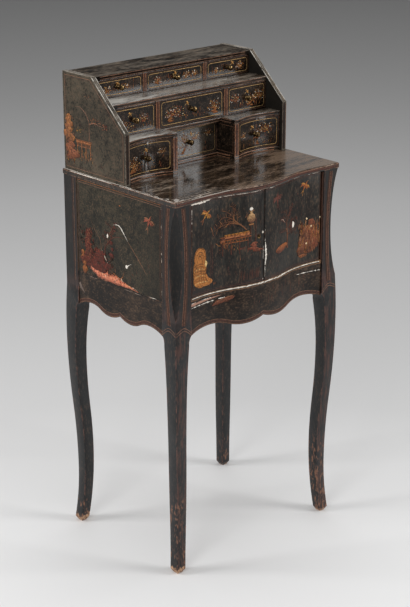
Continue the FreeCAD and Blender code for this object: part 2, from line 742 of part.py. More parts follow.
def drawer(label, left, right, span, front_y, hollow="0"):
    """One drawer in the opening from left to right; hollow is how far its front curves in."""
    x = (f"{left} + drawer_gap", f"{right} - drawer_gap")
    z = (f"{span[0]} + drawer_gap", f"{span[1]} - drawer_gap")
    face_y = f"{front_y} + drawer_setback"
    knob_y = f"{face_y} + {hollow}"
    rear_y = f"{knob_y} + drawer_front"
    middle_x = f"(({x[0]}) + ({x[1]})) / 2"
    middle_z = f"(({z[0]}) + ({z[1]})) / 2"
    hole_length = f"{rear_y} - ({face_y})"
    hole = rod(f"{label}_hole", middle_x, face_y, middle_z, "stem_radius + pin_fit", hole_length, "y")
    if hollow == "0":
        blank = board(f"{label}_blank", (x[0], face_y, z[0]), (x[1], rear_y, z[1]))
    else:
        chord = f"({x[1]} - ({x[0]}))"
        radius = f"({chord}^2 / 4 + {hollow}^2) / (2 * {hollow})"
        plan = [(x[0], rear_y), (x[0], face_y), (x[1], face_y, radius, -1), (x[1], rear_y)]
        blank = padded(f"{label}_blank", "XY_Plane", plan, f"{z[1]} - ({z[0]})", lift=z[0])
    piece(cut(f"{label}_front", blank, hole), f"{label}_front")
    inner = (f"{x[0]} + drawer_side", f"{x[1]} - drawer_side")
    back_y = "drawer_end_y - drawer_side"
    floor_z = f"{z[0]} + drawer_bottom"
    boards = [
        board(f"{label}_side_l", (x[0], rear_y, z[0]), (inner[0], "drawer_end_y", z[1])),
        board(f"{label}_side_r", (inner[1], rear_y, z[0]), (x[1], "drawer_end_y", z[1])),
        board(f"{label}_rear", (inner[0], back_y, floor_z), (inner[1], "drawer_end_y", z[1])),
        board(f"{label}_bottom", (inner[0], rear_y, z[0]), (inner[1], "drawer_end_y", floor_z)),
    ]
    piece(together(f"{label}_box", boards), f"{label}_box")
    piece(knob(f"{label}_knob", middle_x, knob_y, middle_z), f"{label}_knob")


TIERS = {
    "upper": (upper_edges, upper_span, "crest_y", "crest_y", "0"),
    "middle": (middle_edges, middle_span, "upper_nose_y", "upper_nose_y", "0"),
    "lower": (lower_edges, lower_span, "block_y", "centre_y", "block_hollow"),
}
for tier, (edges, span, side_front, centre_front, side_hollow) in TIERS.items():
    drawer(f"drawer_{tier}_left", "-nest_in_x", f"-({edges[1]})", span, side_front, side_hollow)
    drawer(f"drawer_{tier}_centre", f"-({edges[0]})", edges[0], span, centre_front)
    drawer(f"drawer_{tier}_right", edges[1], "nest_in_x", span, side_front, side_hollow)

doc.recompute()
for item in doc.Objects:
    if {"Invalid", "Error"} & set(item.State):
        raise RuntimeError(f"{item.Label} failed: {item.State}")
for item in PIECES:
    if item.Shape.isNull() or not item.Shape.isValid() or not item.Shape.Solids:
        raise RuntimeError(f"{item.Label} has no sound solid")
os.makedirs("parts", exist_ok=True)
for item in PIECES:
    item.Shape.exportStep(f"parts/{item.Label}.step")
print(len(PIECES), "pieces written")
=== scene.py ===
import json
import math
import random

import bmesh
import bpy
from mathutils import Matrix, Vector
from mathutils.bvhtree import BVHTree

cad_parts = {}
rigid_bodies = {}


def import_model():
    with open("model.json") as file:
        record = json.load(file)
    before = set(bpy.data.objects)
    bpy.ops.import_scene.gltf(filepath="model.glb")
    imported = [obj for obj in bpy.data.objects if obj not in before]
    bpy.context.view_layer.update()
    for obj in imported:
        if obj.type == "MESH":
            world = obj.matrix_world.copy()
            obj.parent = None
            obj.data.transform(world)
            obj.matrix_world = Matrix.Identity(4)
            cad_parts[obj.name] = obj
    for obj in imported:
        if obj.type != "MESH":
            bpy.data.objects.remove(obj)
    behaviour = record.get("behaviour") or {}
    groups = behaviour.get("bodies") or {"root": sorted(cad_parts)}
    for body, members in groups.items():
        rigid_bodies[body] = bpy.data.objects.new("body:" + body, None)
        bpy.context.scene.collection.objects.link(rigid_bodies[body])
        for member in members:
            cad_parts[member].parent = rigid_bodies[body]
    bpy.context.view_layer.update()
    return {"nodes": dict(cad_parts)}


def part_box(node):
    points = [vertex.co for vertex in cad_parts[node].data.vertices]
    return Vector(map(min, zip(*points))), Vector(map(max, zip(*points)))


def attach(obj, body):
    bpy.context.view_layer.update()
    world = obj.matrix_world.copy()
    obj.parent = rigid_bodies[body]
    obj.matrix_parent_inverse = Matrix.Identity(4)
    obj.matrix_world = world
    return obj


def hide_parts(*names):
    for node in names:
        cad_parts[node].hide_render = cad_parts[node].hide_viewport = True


for leftover in list(bpy.data.objects):
    bpy.data.objects.remove(leftover)
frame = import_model()
nodes = frame["nodes"]

# Legs and stiles: four beech posts, each sawn from two faces into a cabriole leg with its stile in
# one piece, then covered in black varnish with gilt lines along the stile. Arrises are rubbed
# brown, and the feet are worn down to the bare wood.
MM = 0.001
UP, DOWN = (0, 0, 1), (0, 0, -1)
RIGHTWARD, LEFTWARD = (1, 0, 0), (-1, 0, 0)
FORWARD, BACKWARD = (0, -1, 0), (0, 1, 0)


def corners(name):
    """The low and high corners of a node's box, in millimetres."""
    return [Vector(corner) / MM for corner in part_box(name)]


def seen(red, green, blue, gilt=0.0):
    """A colour as it looks on a screen, 0 to 255, turned to linear light for a shader."""
    light = [(part / 255 / 12.92) if part < 11 else ((part / 255 + 0.055) / 1.055) ** 2.4
             for part in (red, green, blue)]
    return (*light, 1.0 - gilt)


class Tone:
    """A socket of a finish. Arithmetic on it adds Math nodes to the finish."""

    def __init__(self, tree, socket):
        self.tree = tree
        self.socket = socket

    def node(self, kind, settings, sockets, output=0):
        """Adds a node: its settings first, then the values or links of its sockets."""
        made = self.tree.nodes.new("ShaderNode" + kind)
        for name, value in settings.items():
            if name == "stops":
                stops = made.color_ramp.elements
                for place, colour in value[1:-1]:
                    stops.new(place).color = colour
                stops[0].color, stops[-1].color = value[0][1], value[-1][1]
            else:
                setattr(made, name, value)
        for name, value in sockets.items():
            if isinstance(value, Tone):
                self.tree.links.new(value.socket, made.inputs[name])
            else:
                made.inputs[name].default_value = value
        return Tone(self.tree, made.outputs[output]) if made.outputs else None

    def maths(self, operation, *values):
        return self.node("Math", {"operation": operation}, dict(enumerate(values)))

    def vector_maths(self, operation, other, output="Value"):
        return self.node("VectorMath", {"operation": operation}, {0: self, 1: other}, output)

    def __add__(self, other):
        return self.maths("ADD", self, other)

    def __mul__(self, other):
        return self.maths("MULTIPLY", self, other)

    def __sub__(self, other):
        return self.maths("SUBTRACT", self, other)

    def __rsub__(self, other):
        return self.maths("SUBTRACT", other, self)

    __radd__ = __add__
    __rmul__ = __mul__

    def most(self, other):
        return self.maths("MAXIMUM", self, other)

    def between(self, low, high):
        """Rises smoothly from 0 to 1 as the value goes from low to high."""
        return self.node("MapRange", {"interpolation_type": "SMOOTHSTEP"},
                         {"Value": self, "From Min": low, "From Max": high})

    def blend(self, here, there):
        """The colour here where the value is 0, and the colour there where it is 1."""
        return self.node("Mix", {"data_type": "RGBA"}, {0: self, 6: here, 7: there}, 2)

    def along(self, axis):
        return self.node("SeparateXYZ", {}, {0: self}, axis)

    def grain(self, scale, detail=3.0, stretch=(1, 1, 1)):
        """Cloudy noise over the piece, drawn out where stretch is below 1."""
        drawn = self.vector_maths("MULTIPLY", stretch, "Vector")
        return self.node("TexNoise", {}, {"Vector": drawn, "Scale": scale, "Detail": detail})

    def toward(self, direction):
        """1 on faces of the piece that look in a direction, 0 on the others."""
        normal = self.node("TexCoord", {}, {}, "Normal")
        return normal.vector_maths("DOT_PRODUCT", direction).between(0.6, 0.9)

    def arris(self, radius):
        """1 on the sharp edges of the piece, 0 on its faces."""
        eased = self.node("Bevel", {"samples": 6}, {"Radius": radius})
        return 1 - eased.vector_maths("DOT_PRODUCT", self.node("NewGeometry", {}, {}, "Normal"))

    def coat(self, finish, colour, roughness, relief, depth, gloss=0.5, metal=0.0):
        """Ends the finish with its shader: a colour, a roughness and a relief in metres."""
        normal = self.node("Bump", {}, {"Height": relief, "Strength": 0.6, "Distance": depth})
        shader = self.node("BsdfPrincipled", {}, {
            "Base Color": colour, "Roughness": roughness, "Normal": normal,
            "Specular IOR Level": gloss, "Metallic": metal})
        self.node("OutputMaterial", {}, {"Surface": shader})
        return finish


def new_finish(name):
    """An empty finish, and the piece's own coordinates in metres to paint it by."""
    finish = bpy.data.materials.new(name)
    finish.use_nodes = True
    tree = finish.node_tree
    tree.nodes.clear()
    return finish, Tone(tree, tree.nodes.new("ShaderNodeTexCoord").outputs["Object"])


BARE_WOOD, WOOD_GRAIN = seen(150, 108, 74), seen(98, 64, 42)
FADED, PIT, SPECK = seen(92, 72, 56), seen(9, 8, 7), seen(140, 120, 100)
DUST = seen(158, 146, 132)


def wood_tone(place, stretch):
    """Bare beech or oak with its grain drawn out along the board."""
    return place.grain(150, 6, stretch).between(0.3, 0.72).blend(BARE_WOOD, WOOD_GRAIN)


def japanned(name, ground, cloud, rubbed, rub=0.5, dust=0.0, shine=0.3, gloss=0.22,
             drawn=(1, 1, 1), wear=2.4, faded=0.6, bare=None, worn=None):
    """Black varnish over a brown ground: clouded, specked, finely crazed, rubbed through at the
    arrises, with its wear drawn out one way. Faces that look toward bare are plain wood, and worn
    gives one more mask and colour."""
    finish, place = new_finish(name)
    blotch = place.grain(75, 5, drawn)
    fine = place.grain(330, 4, drawn)
    colour = (place.grain(9, 3) * 0.6 + blotch * 0.4).between(0.38, 0.66).blend(ground, cloud)
    thin = (fine * 0.75 + blotch * 0.25).between(0.51, 0.66)
    colour = (thin * faded).blend(colour, FADED)
    pits = 1 - (fine * 0.7 + blotch * 0.3).between(0.37, 0.49)
    colour = (pits * 0.75).blend(colour, PIT)
    colour = (place.grain(430, 2).between(0.7, 0.77) * 0.4).blend(colour, SPECK)
    broken = (fine * 0.55 + blotch * 0.45).between(0.6 - 0.22 * rub, 0.72 - 0.22 * rub)
    edge = place.arris(wear * MM).between(0.004, 0.05) * broken
    colour = (edge * (0.45 + 0.5 * rub)).blend(colour, rubbed)
    roughness = shine + fine * 0.14 + blotch * 0.12 + edge * 0.15
    if dust:
        film = place.grain(50, 7, (0.3, 1, 1)) * 0.7 + fine * 0.45
        lying = place.toward(UP) * film.between(0.46, 0.72) * dust
        colour = lying.blend(colour, DUST)
        roughness = roughness + lying * 0.2
    if worn:
        mask, shown = worn(place, fine)
        colour = mask.blend(colour, shown)
        roughness = roughness + mask * 0.2
    if bare:
        inside = place.toward(bare)
        board_run = (1, 0.08, 1) if bare[0] else (0.08, 1, 1)
        colour = inside.blend(colour, wood_tone(place, board_run))
        roughness = roughness + inside * 0.3
    crazing = place.node("TexVoronoi", {"feature": "DISTANCE_TO_EDGE"},
                         {"Vector": place, "Scale": 120.0}, "Distance")
    relief = crazing.between(0.0, 0.06) * 0.3 + blotch * 0.5 + fine * 0.3
    return place.coat(finish, colour, roughness, relief, (0.03 + 0.8 * shine) * MM, gloss)


def dress(name, finish, ease=0.5):
    """Gives a CAD node its finish and breaks its sharp edges a little."""
    piece = nodes[name]
    for slot in piece.material_slots:
        slot.material = finish
    piece.modifiers.new("joined_skin", "WELD").merge_threshold = 0.002 * MM
    eased = piece.modifiers.new("broken_edges", "BEVEL")
    eased.width = ease * MM
    eased.segments = 2
    eased.limit_method = "ANGLE"
    eased.angle_limit = math.radians(40)


def even(share):
    """A stroke as wide at its end as at its start."""
    return 1.0


def leaf(share):
    """A stroke pointed at both ends."""
    return max(math.sin(math.pi * share), 0.06) ** 0.8


def tail(share):
    """A stroke that runs out to a point."""
    return 1.05 - share


def flowing(path, step):
    """Points about a step apart on a smooth line through the points of a path."""
    ends = [path[0], *path, path[-1]]
    line = []
    for before, start, stop, after in zip(ends, ends[1:], ends[2:], ends[3:]):
        parts = max(1, round(math.dist(start, stop) / step))
        for part in range(parts):
            t = part / parts
            line.append(tuple(
                0.5 * (2 * b + (c - a) * t + (2 * a - 5 * b + 4 * c - d) * t * t
                       + (3 * b - a - 3 * c + d) * t ** 3)
                for a, b, c, d in zip(before, start, stop, after)))
    return [*line, path[-1]]


def new_piece(name, mesh, shape, finish):
    """A built shape as a smooth piece of the scene, its faces turned outward."""
    bmesh.ops.recalc_face_normals(shape, faces=shape.faces)
    shape.to_mesh(mesh)
    shape.free()
    mesh.polygons.foreach_set("use_smooth", [True] * len(mesh.polygons))
    mesh.materials.append(finish)
    piece = bpy.data.objects.new(name, mesh)
    bpy.context.scene.collection.objects.link(piece)
    return piece


REACH = 2000 * MM
SUNK = -0.04
LAYER, LAYERS = 0.004, 40
NOWHERE = 1000.0
THIN_RUN, THIN_SHARE = 6.0, 0.45


class Brushwork:
    """Paint, gilding or bared ground on one face of a piece, as thin solids in one mesh, drawn in
    millimetres across and up from a corner. Paint lies lower beyond a distance across, where a
    door turns close past its stile."""

    def __init__(self, seed, node, across, up=UP, corner=(0, 0, 0), reach=REACH,
                 thin_beyond=NOWHERE):
        self.dice = random.Random(seed)
        self.points, self.sides, self.tones = [], [], []
        self.layers = 0
        self.reach = reach
        self.thin_beyond = thin_beyond
        self.corner = Vector(corner)
        self.across = Vector(across) * MM
        self.up = Vector(up) * MM
        self.out = self.across.cross(self.up).normalized()
        mesh = nodes[node].data
        self.skin = BVHTree.FromPolygons([vertex.co for vertex in mesh.vertices],
                                         [side.vertices for side in mesh.polygons])

    def some(self, low, high):
        """A number from low to high, by the throw of this brush's own dice."""
        return self.dice.uniform(low, high)

    def lay(self, u, v, lift=0.0):
        """The place on the face at u across and v up, lifted off it."""
        aim = self.corner + self.across * u + self.up * v
        spot, normal, *_ = self.skin.ray_cast(aim + self.out * self.reach, -self.out)
        if spot is None:
            spot, normal, *_ = self.skin.find_nearest(aim)
        thinned = min(max((abs(u) - self.thin_beyond) / THIN_RUN, 0.0), 1.0)
        return spot + normal * (lift * (1 - THIN_SHARE * thinned) * MM)

    def under(self, u, v):
        """How far up the sawn lower edge is, below a place that is in the wood."""
        start = self.lay(u, v, -4.0)
        spot = self.skin.ray_cast(Vector((start.x, start.y, -1.0)), Vector(UP))[0]
        return (spot.z - self.corner.z) / MM

    def put(self, u, v, lift, tone):
        self.points.append(self.lay(u, v, lift))
        self.tones.append(tone)
        return len(self.points) - 1

    def stroke(self, path, width, tone, shape=even, rag=0.1, lift=0.12, step=2.5):
        """A brush stroke along a path, rounded in section."""
        line = flowing(path, min(step, math.dist(path[0], path[-1]) / 4 + 0.2))
        last = len(line) - 1
        rows = []
        for place, (u, v) in enumerate(line):
            before, after = line[max(place - 1, 0)], line[min(place + 1, last)]
            du, dv = after[0] - before[0], after[1] - before[1]
            length = math.hypot(du, dv) or 1.0
            half = width / 2 * shape(place / last) * (1 + rag * self.some(-1, 1))
            side_u, side_v = -dv / length * half, du / length * half
            rows.append((self.put(u + side_u, v + side_v, SUNK, tone), self.put(u, v, lift, tone),
                         self.put(u - side_u, v - side_v, SUNK, tone)))
        for first, second in zip(rows, rows[1:]):
            for k in range(3):
                self.sides.append((first[k], first[k - 1], second[k - 1], second[k]))
        self.sides += [rows[0], rows[-1][::-1]]

    def patch(self, u, v, wide, high, tone, rag=0.2, lift=0.2, turn=0.0, points=9, foot=None):
        """A filled spot with an uneven rim, shaded off to another tone at its foot."""
        foot = foot or tone
        self.layers += 1
        lift += LAYER * (self.layers % LAYERS)

        def shaded(y):
            share = min(max(0.5 + y / high, 0.0), 1.0)
            return tuple(low + (top - low) * share for low, top in zip(foot, tone))

        rim = []
        for point in range(points):
            angle = 2 * math.pi * point / points
            reach = 1 + rag * self.some(-1, 1)
            x, y = wide / 2 * math.cos(angle) * reach, high / 2 * math.sin(angle) * reach
            rim.append((x * math.cos(turn) - y * math.sin(turn),
                        x * math.sin(turn) + y * math.cos(turn)))
        rim = flowing([*rim, rim[0]], max(1.0, (wide + high) / 30))[:-1]
        rings = []
        for share, height in ((1.0, SUNK), (0.9, lift), (0.5, lift), (0.5, SUNK)):
            rings.append([self.put(u + share * x, v + share * y, height, shaded(share * y))
                          for x, y in rim])
        middle = [self.put(u, v, lift, shaded(0)), self.put(u, v, SUNK, shaded(0))]
        pairs = [(k, (k + 1) % len(rim)) for k in range(len(rim))]
        for inner, outer in ((1, 0), (2, 1), (0, 3)):
            for k, nxt in pairs:
                self.sides.append((rings[outer][k], rings[outer][nxt],
                                   rings[inner][nxt], rings[inner][k]))
        for k, nxt in pairs:
            self.sides.append((rings[2][k], rings[2][nxt], middle[0]))
            self.sides.append((rings[3][nxt], rings[3][k], middle[1]))

    def flakes(self, path, width, tone, share=0.7, run=12.0):
        """A line along which the varnish has chipped away in ragged runs."""
        line = flowing(path, 2.0)
        place = 0
        while place < len(line) - 2:
            stop = min(place + max(2, int(self.some(0.3, 1.6) * run / 2)), len(line) - 1)
            if self.dice.random() < share:
                self.stroke(line[place:stop + 1], width * self.some(0.4, 1.3), tone,
                            leaf, 0.6, 0.1, 1.5)
            place = stop

    def strokes(self, *rows):
        """Strokes one after another, each row being what stroke takes."""
        for row in rows:
            self.stroke(*row)

    def outline(self, points, width, tone, rag):
        """A border in straight lines from point to point."""
        for ends in zip(points, points[1:]):
            self.stroke(ends, width, tone, even, rag)

    def chips(self, *rows):
        """Chipped lines one after another, each row being what flakes takes."""
        for row in rows:
            self.flakes(*row)

    def done(self, name, body):
        """The piece of paint, riding on the body whose face it is on."""
        mesh = bpy.data.meshes.new(name)
        mesh.from_pydata(self.points, [], self.sides)
        layer = mesh.color_attributes.new("tone", "FLOAT_COLOR", "POINT")
        for spot, tone in zip(layer.data, self.tones):
            spot.color = tone
        shape = bmesh.new()
        shape.from_mesh(mesh)
        piece = new_piece(name, mesh, shape, paint)
        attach(piece, body)


paint, place = new_finish("brushed_paint")
laid_on = place.node("Attribute", {"attribute_name": "tone"}, {}, "Color")
gilt = 1 - place.node("Attribute", {"attribute_name": "tone"}, {}, "Alpha")
chalk = gilt.between(0.7, 0.9)
thin = (place.grain(330, 4) * 0.75 + place.grain(75, 3) * 0.25).between(0.47, 0.62)
paint_colour = (thin * (0.65 - chalk * 0.6)).blend(laid_on, seen(44, 31, 22))
place.coat(paint, paint_colour, 0.5 - gilt * 0.15 + chalk * 0.4, place.grain(600, 2), 0.1 * MM,
           gloss=0.22, metal=(gilt - chalk) * 0.6)

GOLD, PALE_GOLD = seen(186, 128, 62, 0.3), seen(226, 190, 128, 0.2)
ORANGE, COPPERY = seen(158, 92, 50, 0.1), seen(150, 98, 68)
RED, DULL_RED = seen(99, 39, 28), seen(92, 50, 38)
BAND_BROWN, LINE_BROWN = seen(74, 45, 36), seen(136, 98, 77, 0.2)
SOOT = seen(30, 22, 17)
CUPBOARD_FOOT = 556
FOOT_WEAR = {"front_left": (14, 0.6, 190, 0.5), "back_left": (17, 0.4, 60, 0.0),
             "front_right": (8, 1.0, 195, 0.5), "back_right": (5, 0.3, 90, 0.0)}

for leg, (tip, rub_down, rub_top, streaked) in FOOT_WEAR.items():
    inner_face = BACKWARD if "front" in leg else FORWARD

    def worn_foot(place, fine):
        height = place.along("Z")
        inside = height.between((CUPBOARD_FOOT - 3) * MM, CUPBOARD_FOOT * MM)
        inside = place.toward(inner_face) * inside
        patchy = place.grain(150, 6, (1, 1, 0.4))
        bared = 1 - (height + patchy * 22 * MM).between((tip + 6) * MM, (tip + 12) * MM)
        worn = place.grain(190, 5, (1, 1, 0.35)) + patchy * 0.4 + fine * 0.7
        specks = worn.between(1.16 - 0.11 * rub_down, 1.3 - 0.11 * rub_down)
        specks = specks * (1 - height.between(rub_top * 0.7 * MM, rub_top * MM))
        stump = fine.between(0.4, 0.62).blend(seen(188, 150, 118), seen(104, 72, 52))
        streaks = place.grain(240, 6, (1, 1, 0.12)).between(0.44, 0.64)
        streaks = place.toward(FORWARD) * streaks * streaked
        stile = height.between(500 * MM, 560 * MM) * 0.55
        shown = stile.between(0.1, 0.5).blend(seen(92, 58, 48), seen(20, 16, 13))
        shown = specks.blend(shown, seen(132, 92, 70))
        shown = inside.blend(bared.blend(shown, stump), wood_tone(place, (1, 1, 0.08)))
        return bared.most(specks * 0.75).most(streaks).most(stile).most(inside), shown

    dress("leg_" + leg, japanned(
        "varnish_leg_" + leg, seen(15, 16, 18), seen(29, 30, 31), seen(116, 76, 64), rub=0.62,
        shine=0.2, gloss=0.36, drawn=(1, 1, 0.4), wear=3.6, faded=0.35, worn=worn_foot))

LINE_INSET = 3.0
LINE_FROM_CORNER = 20.0
LINE_BOW = 7.5
LINE_FOOT, LINE_HEAD = 512, 738
COLLAR = 503
EDGE_BAND, EDGE_BAND_INSET = 11.0, 8.6
FLAT = Vector((1, 1, 0))
SIDES = (("left", -1, FORWARD, RIGHTWARD), ("right", 1, BACKWARD, LEFTWARD))

for side, outward, along_side, _ in SIDES:
    leg = "leg_front_" + side
    low, high = corners(leg)
    inner_x, outer_x = (high.x, low.x) if outward < 0 else (low.x, high.x)
    faces = {"front": (RIGHTWARD, inner_x, outer_x),
             "side": (along_side, outward * high.y, outward * low.y)}
    for view, (across, inner, outer) in faces.items():
        lines = Brushwork(f"stile {side} {view}", leg, across, corner=(low + high) * MM / 2 * FLAT)
        datum = lines.corner.dot(lines.across.normalized()) / MM
        inner, outer = inner - datum, outer - datum
        way = 1 if outer > inner else -1
        straight = inner + way * LINE_INSET
        rim = []
        for v in range(LINE_FOOT, LINE_HEAD, 9):
            bow = math.sin(math.pi * (v - LINE_FOOT) / (LINE_HEAD - LINE_FOOT))
            rim.append((outer - way * (LINE_FROM_CORNER + LINE_BOW * bow), v))
        for inset, width, tone, rag, lift in (
                (4.0, 11.0, seen(66, 44, 35), 0.1, 0.05), (0.0, 4.4, BAND_BROWN, 0.25, 0.1),
                (-2.4, 1.4, LINE_BROWN, 0.35, 0.12), (2.4, 1.4, LINE_BROWN, 0.35, 0.12)):
            lines.stroke([(u - way * inset, v) for u, v in rim], width, tone, even, rag, lift)
        lines.stroke([(straight, LINE_FOOT), (straight, LINE_HEAD)], 1.2, BAND_BROWN, rag=0.3)
        for collar in (COLLAR, COLLAR - 5):
            ring = [(inner + way, collar - 8), (inner + (outer - inner) * 0.45, collar + 4),
                    (outer - way * 3, collar - 3)]
            lines.stroke(ring, 1.5, LINE_BROWN, rag=0.3)
        lines.done(f"gilt_lines_stile_{side}_{view}", "case")
    lines = Brushwork("stile edge " + side, leg, BACKWARD if outward < 0 else FORWARD,
                      corner=(inner_x * MM, 0, 0))
    u = outward * (-low.y - EDGE_BAND_INSET)
    lines.stroke([(u, CUPBOARD_FOOT), (u, LINE_HEAD)], EDGE_BAND, seen(84, 58, 47), even, 0.02, 0.1)
    lines.flakes([(u, CUPBOARD_FOOT + 4), (u, LINE_HEAD)], 2.2, seen(190, 174, 156, 0.9), 0.4, 8)
    lines.done(f"rubbed_edge_stile_{side}", "case")
    leg = "leg_back_" + side
    lines = Brushwork("back stile " + side, leg, along_side, corner=(outer_x * MM, 0, 0))
    for inset, width, tone in ((3.0, 1.2, BAND_BROWN), (9.0, 1.5, LINE_BROWN),
                               (13.0, 2.0, BAND_BROWN)):
        u = outward * (corners(leg)[0].y + inset)
        lines.stroke([(u, LINE_FOOT + 20), (u, LINE_HEAD)], width, tone, rag=0.35)
    lines.done(f"gilt_lines_back_stile_{side}", "case")

# Aprons: four thin boards between the stiles, the front one bent to the serpentine of the doors,
# each with a scalloped lower edge. Varnished outside, with a brown band between two gilt lines
# along the scallops, and left as bare wood behind.
APRON_LINES = ((5.0, 5.0, BAND_BROWN), (2.0, 1.5, LINE_BROWN), (8.0, 1.2, LINE_BROWN))
APRON_FACES = {"front_apron": (RIGHTWARD, BACKWARD), "side_apron_left": (FORWARD, RIGHTWARD),
               "side_apron_right": (BACKWARD, LEFTWARD), "back_apron": (LEFTWARD, FORWARD)}
APRON_END = 9
CREAM, RAW_PINK = seen(232, 224, 212, 1.0), seen(168, 128, 110, 1.0)
BROWN_RUB = seen(128, 84, 62)

for apron, (across, behind) in APRON_FACES.items():
    dress(apron, japanned("varnish_" + apron, seen(28, 21, 16), seen(52, 40, 31), BROWN_RUB,
                          rub=0.6, shine=0.26, drawn=(0.6, 0.6, 1), bare=behind))
    if apron == "back_apron":
        continue
    low, high = corners(apron)
    top = high.z
    half = (high - low).dot(Vector((abs(across[0]), abs(across[1]), 0))) / 2 - APRON_END
    lines = Brushwork(apron, apron, across, corner=(low + high) * MM / 2 * FLAT)
    stations = [half * share / 30 for share in range(-30, 31)]
    for rise, width, tone in APRON_LINES:
        lines.stroke([(u, lines.under(u, top - 5) + rise) for u in stations], width, tone)
    if apron == "front_apron":
        lines.stroke([(-half, top - 8), (-half * 0.8, top - 7), (-half * 0.55, top - 4)], 9,
                     RAW_PINK, tail, 0.3)
        lines.chips(([(-half, top - 14), (-half * 0.5, top - 10)], 2.6, CREAM, 0.9),
                    ([(-half, top - 5), (-half * 0.55, top - 4)], 1.8, CREAM, 0.6),
                    ([(half * 0.62, top - 11), (half, top - 14)], 2.4, CREAM, 0.9))
        lines.strokes(
            ([(-116, 531), (-100, 536), (-82, 537), (-66, 542)], 14, seen(108, 62, 43), leaf, 0.35),
            ([(-110, 536), (-88, 541), (-68, 544)], 2.6, COPPERY, leaf, 0.3, 0.25),
            ([(-112, 528), (-92, 532), (-74, 535)], 1.8, SOOT, leaf, 0.3, 0.25))
        for reed in range(26):
            u, v = lines.some(-40, 130), lines.some(508, 534)
            lines.stroke([(u, v), (u + lines.some(-2, 2), v + lines.some(6, 16))], 1.2,
                         DULL_RED, leaf, 0.4)
    if apron == "side_apron_left":
        lines.stroke([(-half, top - 24), (-half * 0.95, top - 32), (-half * 0.86, top - 42)], 12,
                     seen(112, 98, 90, 0.8), tail, 0.5)
        lines.flakes([(-half * 0.9, top - 3), (half, top - 3)], 1.4, seen(160, 140, 126, 0.8),
                     0.3, 16)
    lines.done("gilt_lines_" + apron, "case")

# Side panels: one board to each side, grooved into the stiles behind their faces. Varnished black
# and painted with rocks, boughs and a bird in raised gold and reds; the left one has lost flakes
# of varnish down to the coral ground.
PANEL_OUT = 210
CORAL, TWIG = seen(220, 130, 100), seen(116, 82, 58)
RED_ROCK = (SOOT, RED, SOOT, DULL_RED, SOOT, seen(138, 66, 47))
LOW_ROCK = (SOOT, DULL_RED, SOOT, RED, SOOT, seen(142, 70, 52))


def painted_shade_front(place, fine):
    """Painted shade: the panel is darker toward the front."""
    return (1 - place.along("Y").between(-0.13, -0.02)) * 0.5, seen(22, 18, 14)


def bird(brush, u, v, size, tone, edge, turn=0.0):
    """A bird on the wing: body, two spread wings of three feathers each, and a forked tail."""
    cos, sin = math.cos(turn), math.sin(turn)

    def at(x, y):
        return (u + size * (x * cos - y * sin), v + size * (x * sin + y * cos))

    brush.strokes(
        ([at(-0.42, -0.1), at(0.0, 0.04), at(0.4, 0.12)], size * 0.26, tone, leaf, 0.1, 0.5, 1),
        ([at(0.36, 0.13), at(0.56, 0.1)], size * 0.09, edge, tail, 0.1, 0.12, 1))
    for feather in (0.0, 0.14, 0.28):
        upper = [at(0.1, 0.05), at(-0.02 - feather, 0.34), at(-0.2 - feather, 0.56 - feather * 0.6)]
        lower = [at(0.08, 0.0), at(0.24 - feather, -0.26), at(0.2 - feather, -0.52 + feather * 0.5)]
        for path, share in ((upper, 0.17), (lower, 0.16)):
            brush.stroke(path, size * share, tone if feather else edge, leaf, 0.1, 0.3, 1)
    for spread in (-0.1, 0.06):
        brush.stroke([at(-0.36, -0.08), at(-0.66, -0.2 + spread), at(-0.86, -0.22 + spread * 2.4)],
                     size * 0.08, edge, leaf, step=1)


def rock(brush, u, v, wide, high, body, edge, lumps=6):
    """A heap of water-worn rock, back lumps to front ones, hatched in soot and gold."""
    shadow = tuple(0.3 * part + 0.7 * dark for part, dark in zip(body, SOOT))
    small = min(1, 9 / lumps)
    for lump in range(lumps):
        share = lump / (lumps - 1)
        lump_u = u + wide * 0.3 * brush.some(-1, 1) * (0.25 + 0.75 * share)
        lump_v = v + high * (0.86 - 0.72 * share)
        lump_wide = wide * (0.34 + 0.3 * share) * brush.some(0.7, 1.2) * small
        lump_high = high * brush.some(0.24, 0.36) * small
        raised = 0.15 * share
        brush.patch(lump_u, lump_v, lump_wide, lump_high, body, 0.22, 0.3 + raised, foot=shadow)
        arch = [(lump_u + lump_wide * 0.46 * math.cos(a), lump_v + lump_high * 0.44 * math.sin(a))
                for a in (0.2, 0.9, 1.6, 2.3, 3.0)]
        brush.stroke(arch, 1.4, edge, leaf, 0.4, 0.5 + raised, 1.5)
        for hatch in range(max(5, int(lump_wide / 2.2))):
            x = lump_u + lump_wide * brush.some(-0.42, 0.42)
            y = lump_v + lump_high * brush.some(-0.2, 0.25)
            run = lump_high * brush.some(0.25, 0.5)
            brush.stroke([(x, y + run / 2), (x + lump_wide * 0.05, y),
                          (x + brush.some(-1, 1), y - run / 2)], 1.3,
                         (SOOT, SOOT, edge)[hatch % 3], leaf, 0.4, 0.48 + raised, 1.5)


def haze(brush, u, v, wide, high, count, tones, bold=1.0, lift=0.1):
    """Dry-brush strokes: faint ones are what is left of worn leaves, bold ones streak a rock."""
    for mark in range(count):
        x, y = u + wide * brush.some(-0.5, 0.5), v + high * brush.some(-0.5, 0.5)
        turn, run = brush.some(0.9, 2.4), brush.some(2.5, 9)
        brush.stroke([(x, y), (x + run * math.cos(turn), y + run * math.sin(turn))],
                     bold * brush.some(0.7, 1.4), tones[mark % len(tones)], leaf, 0.4, lift, 2)


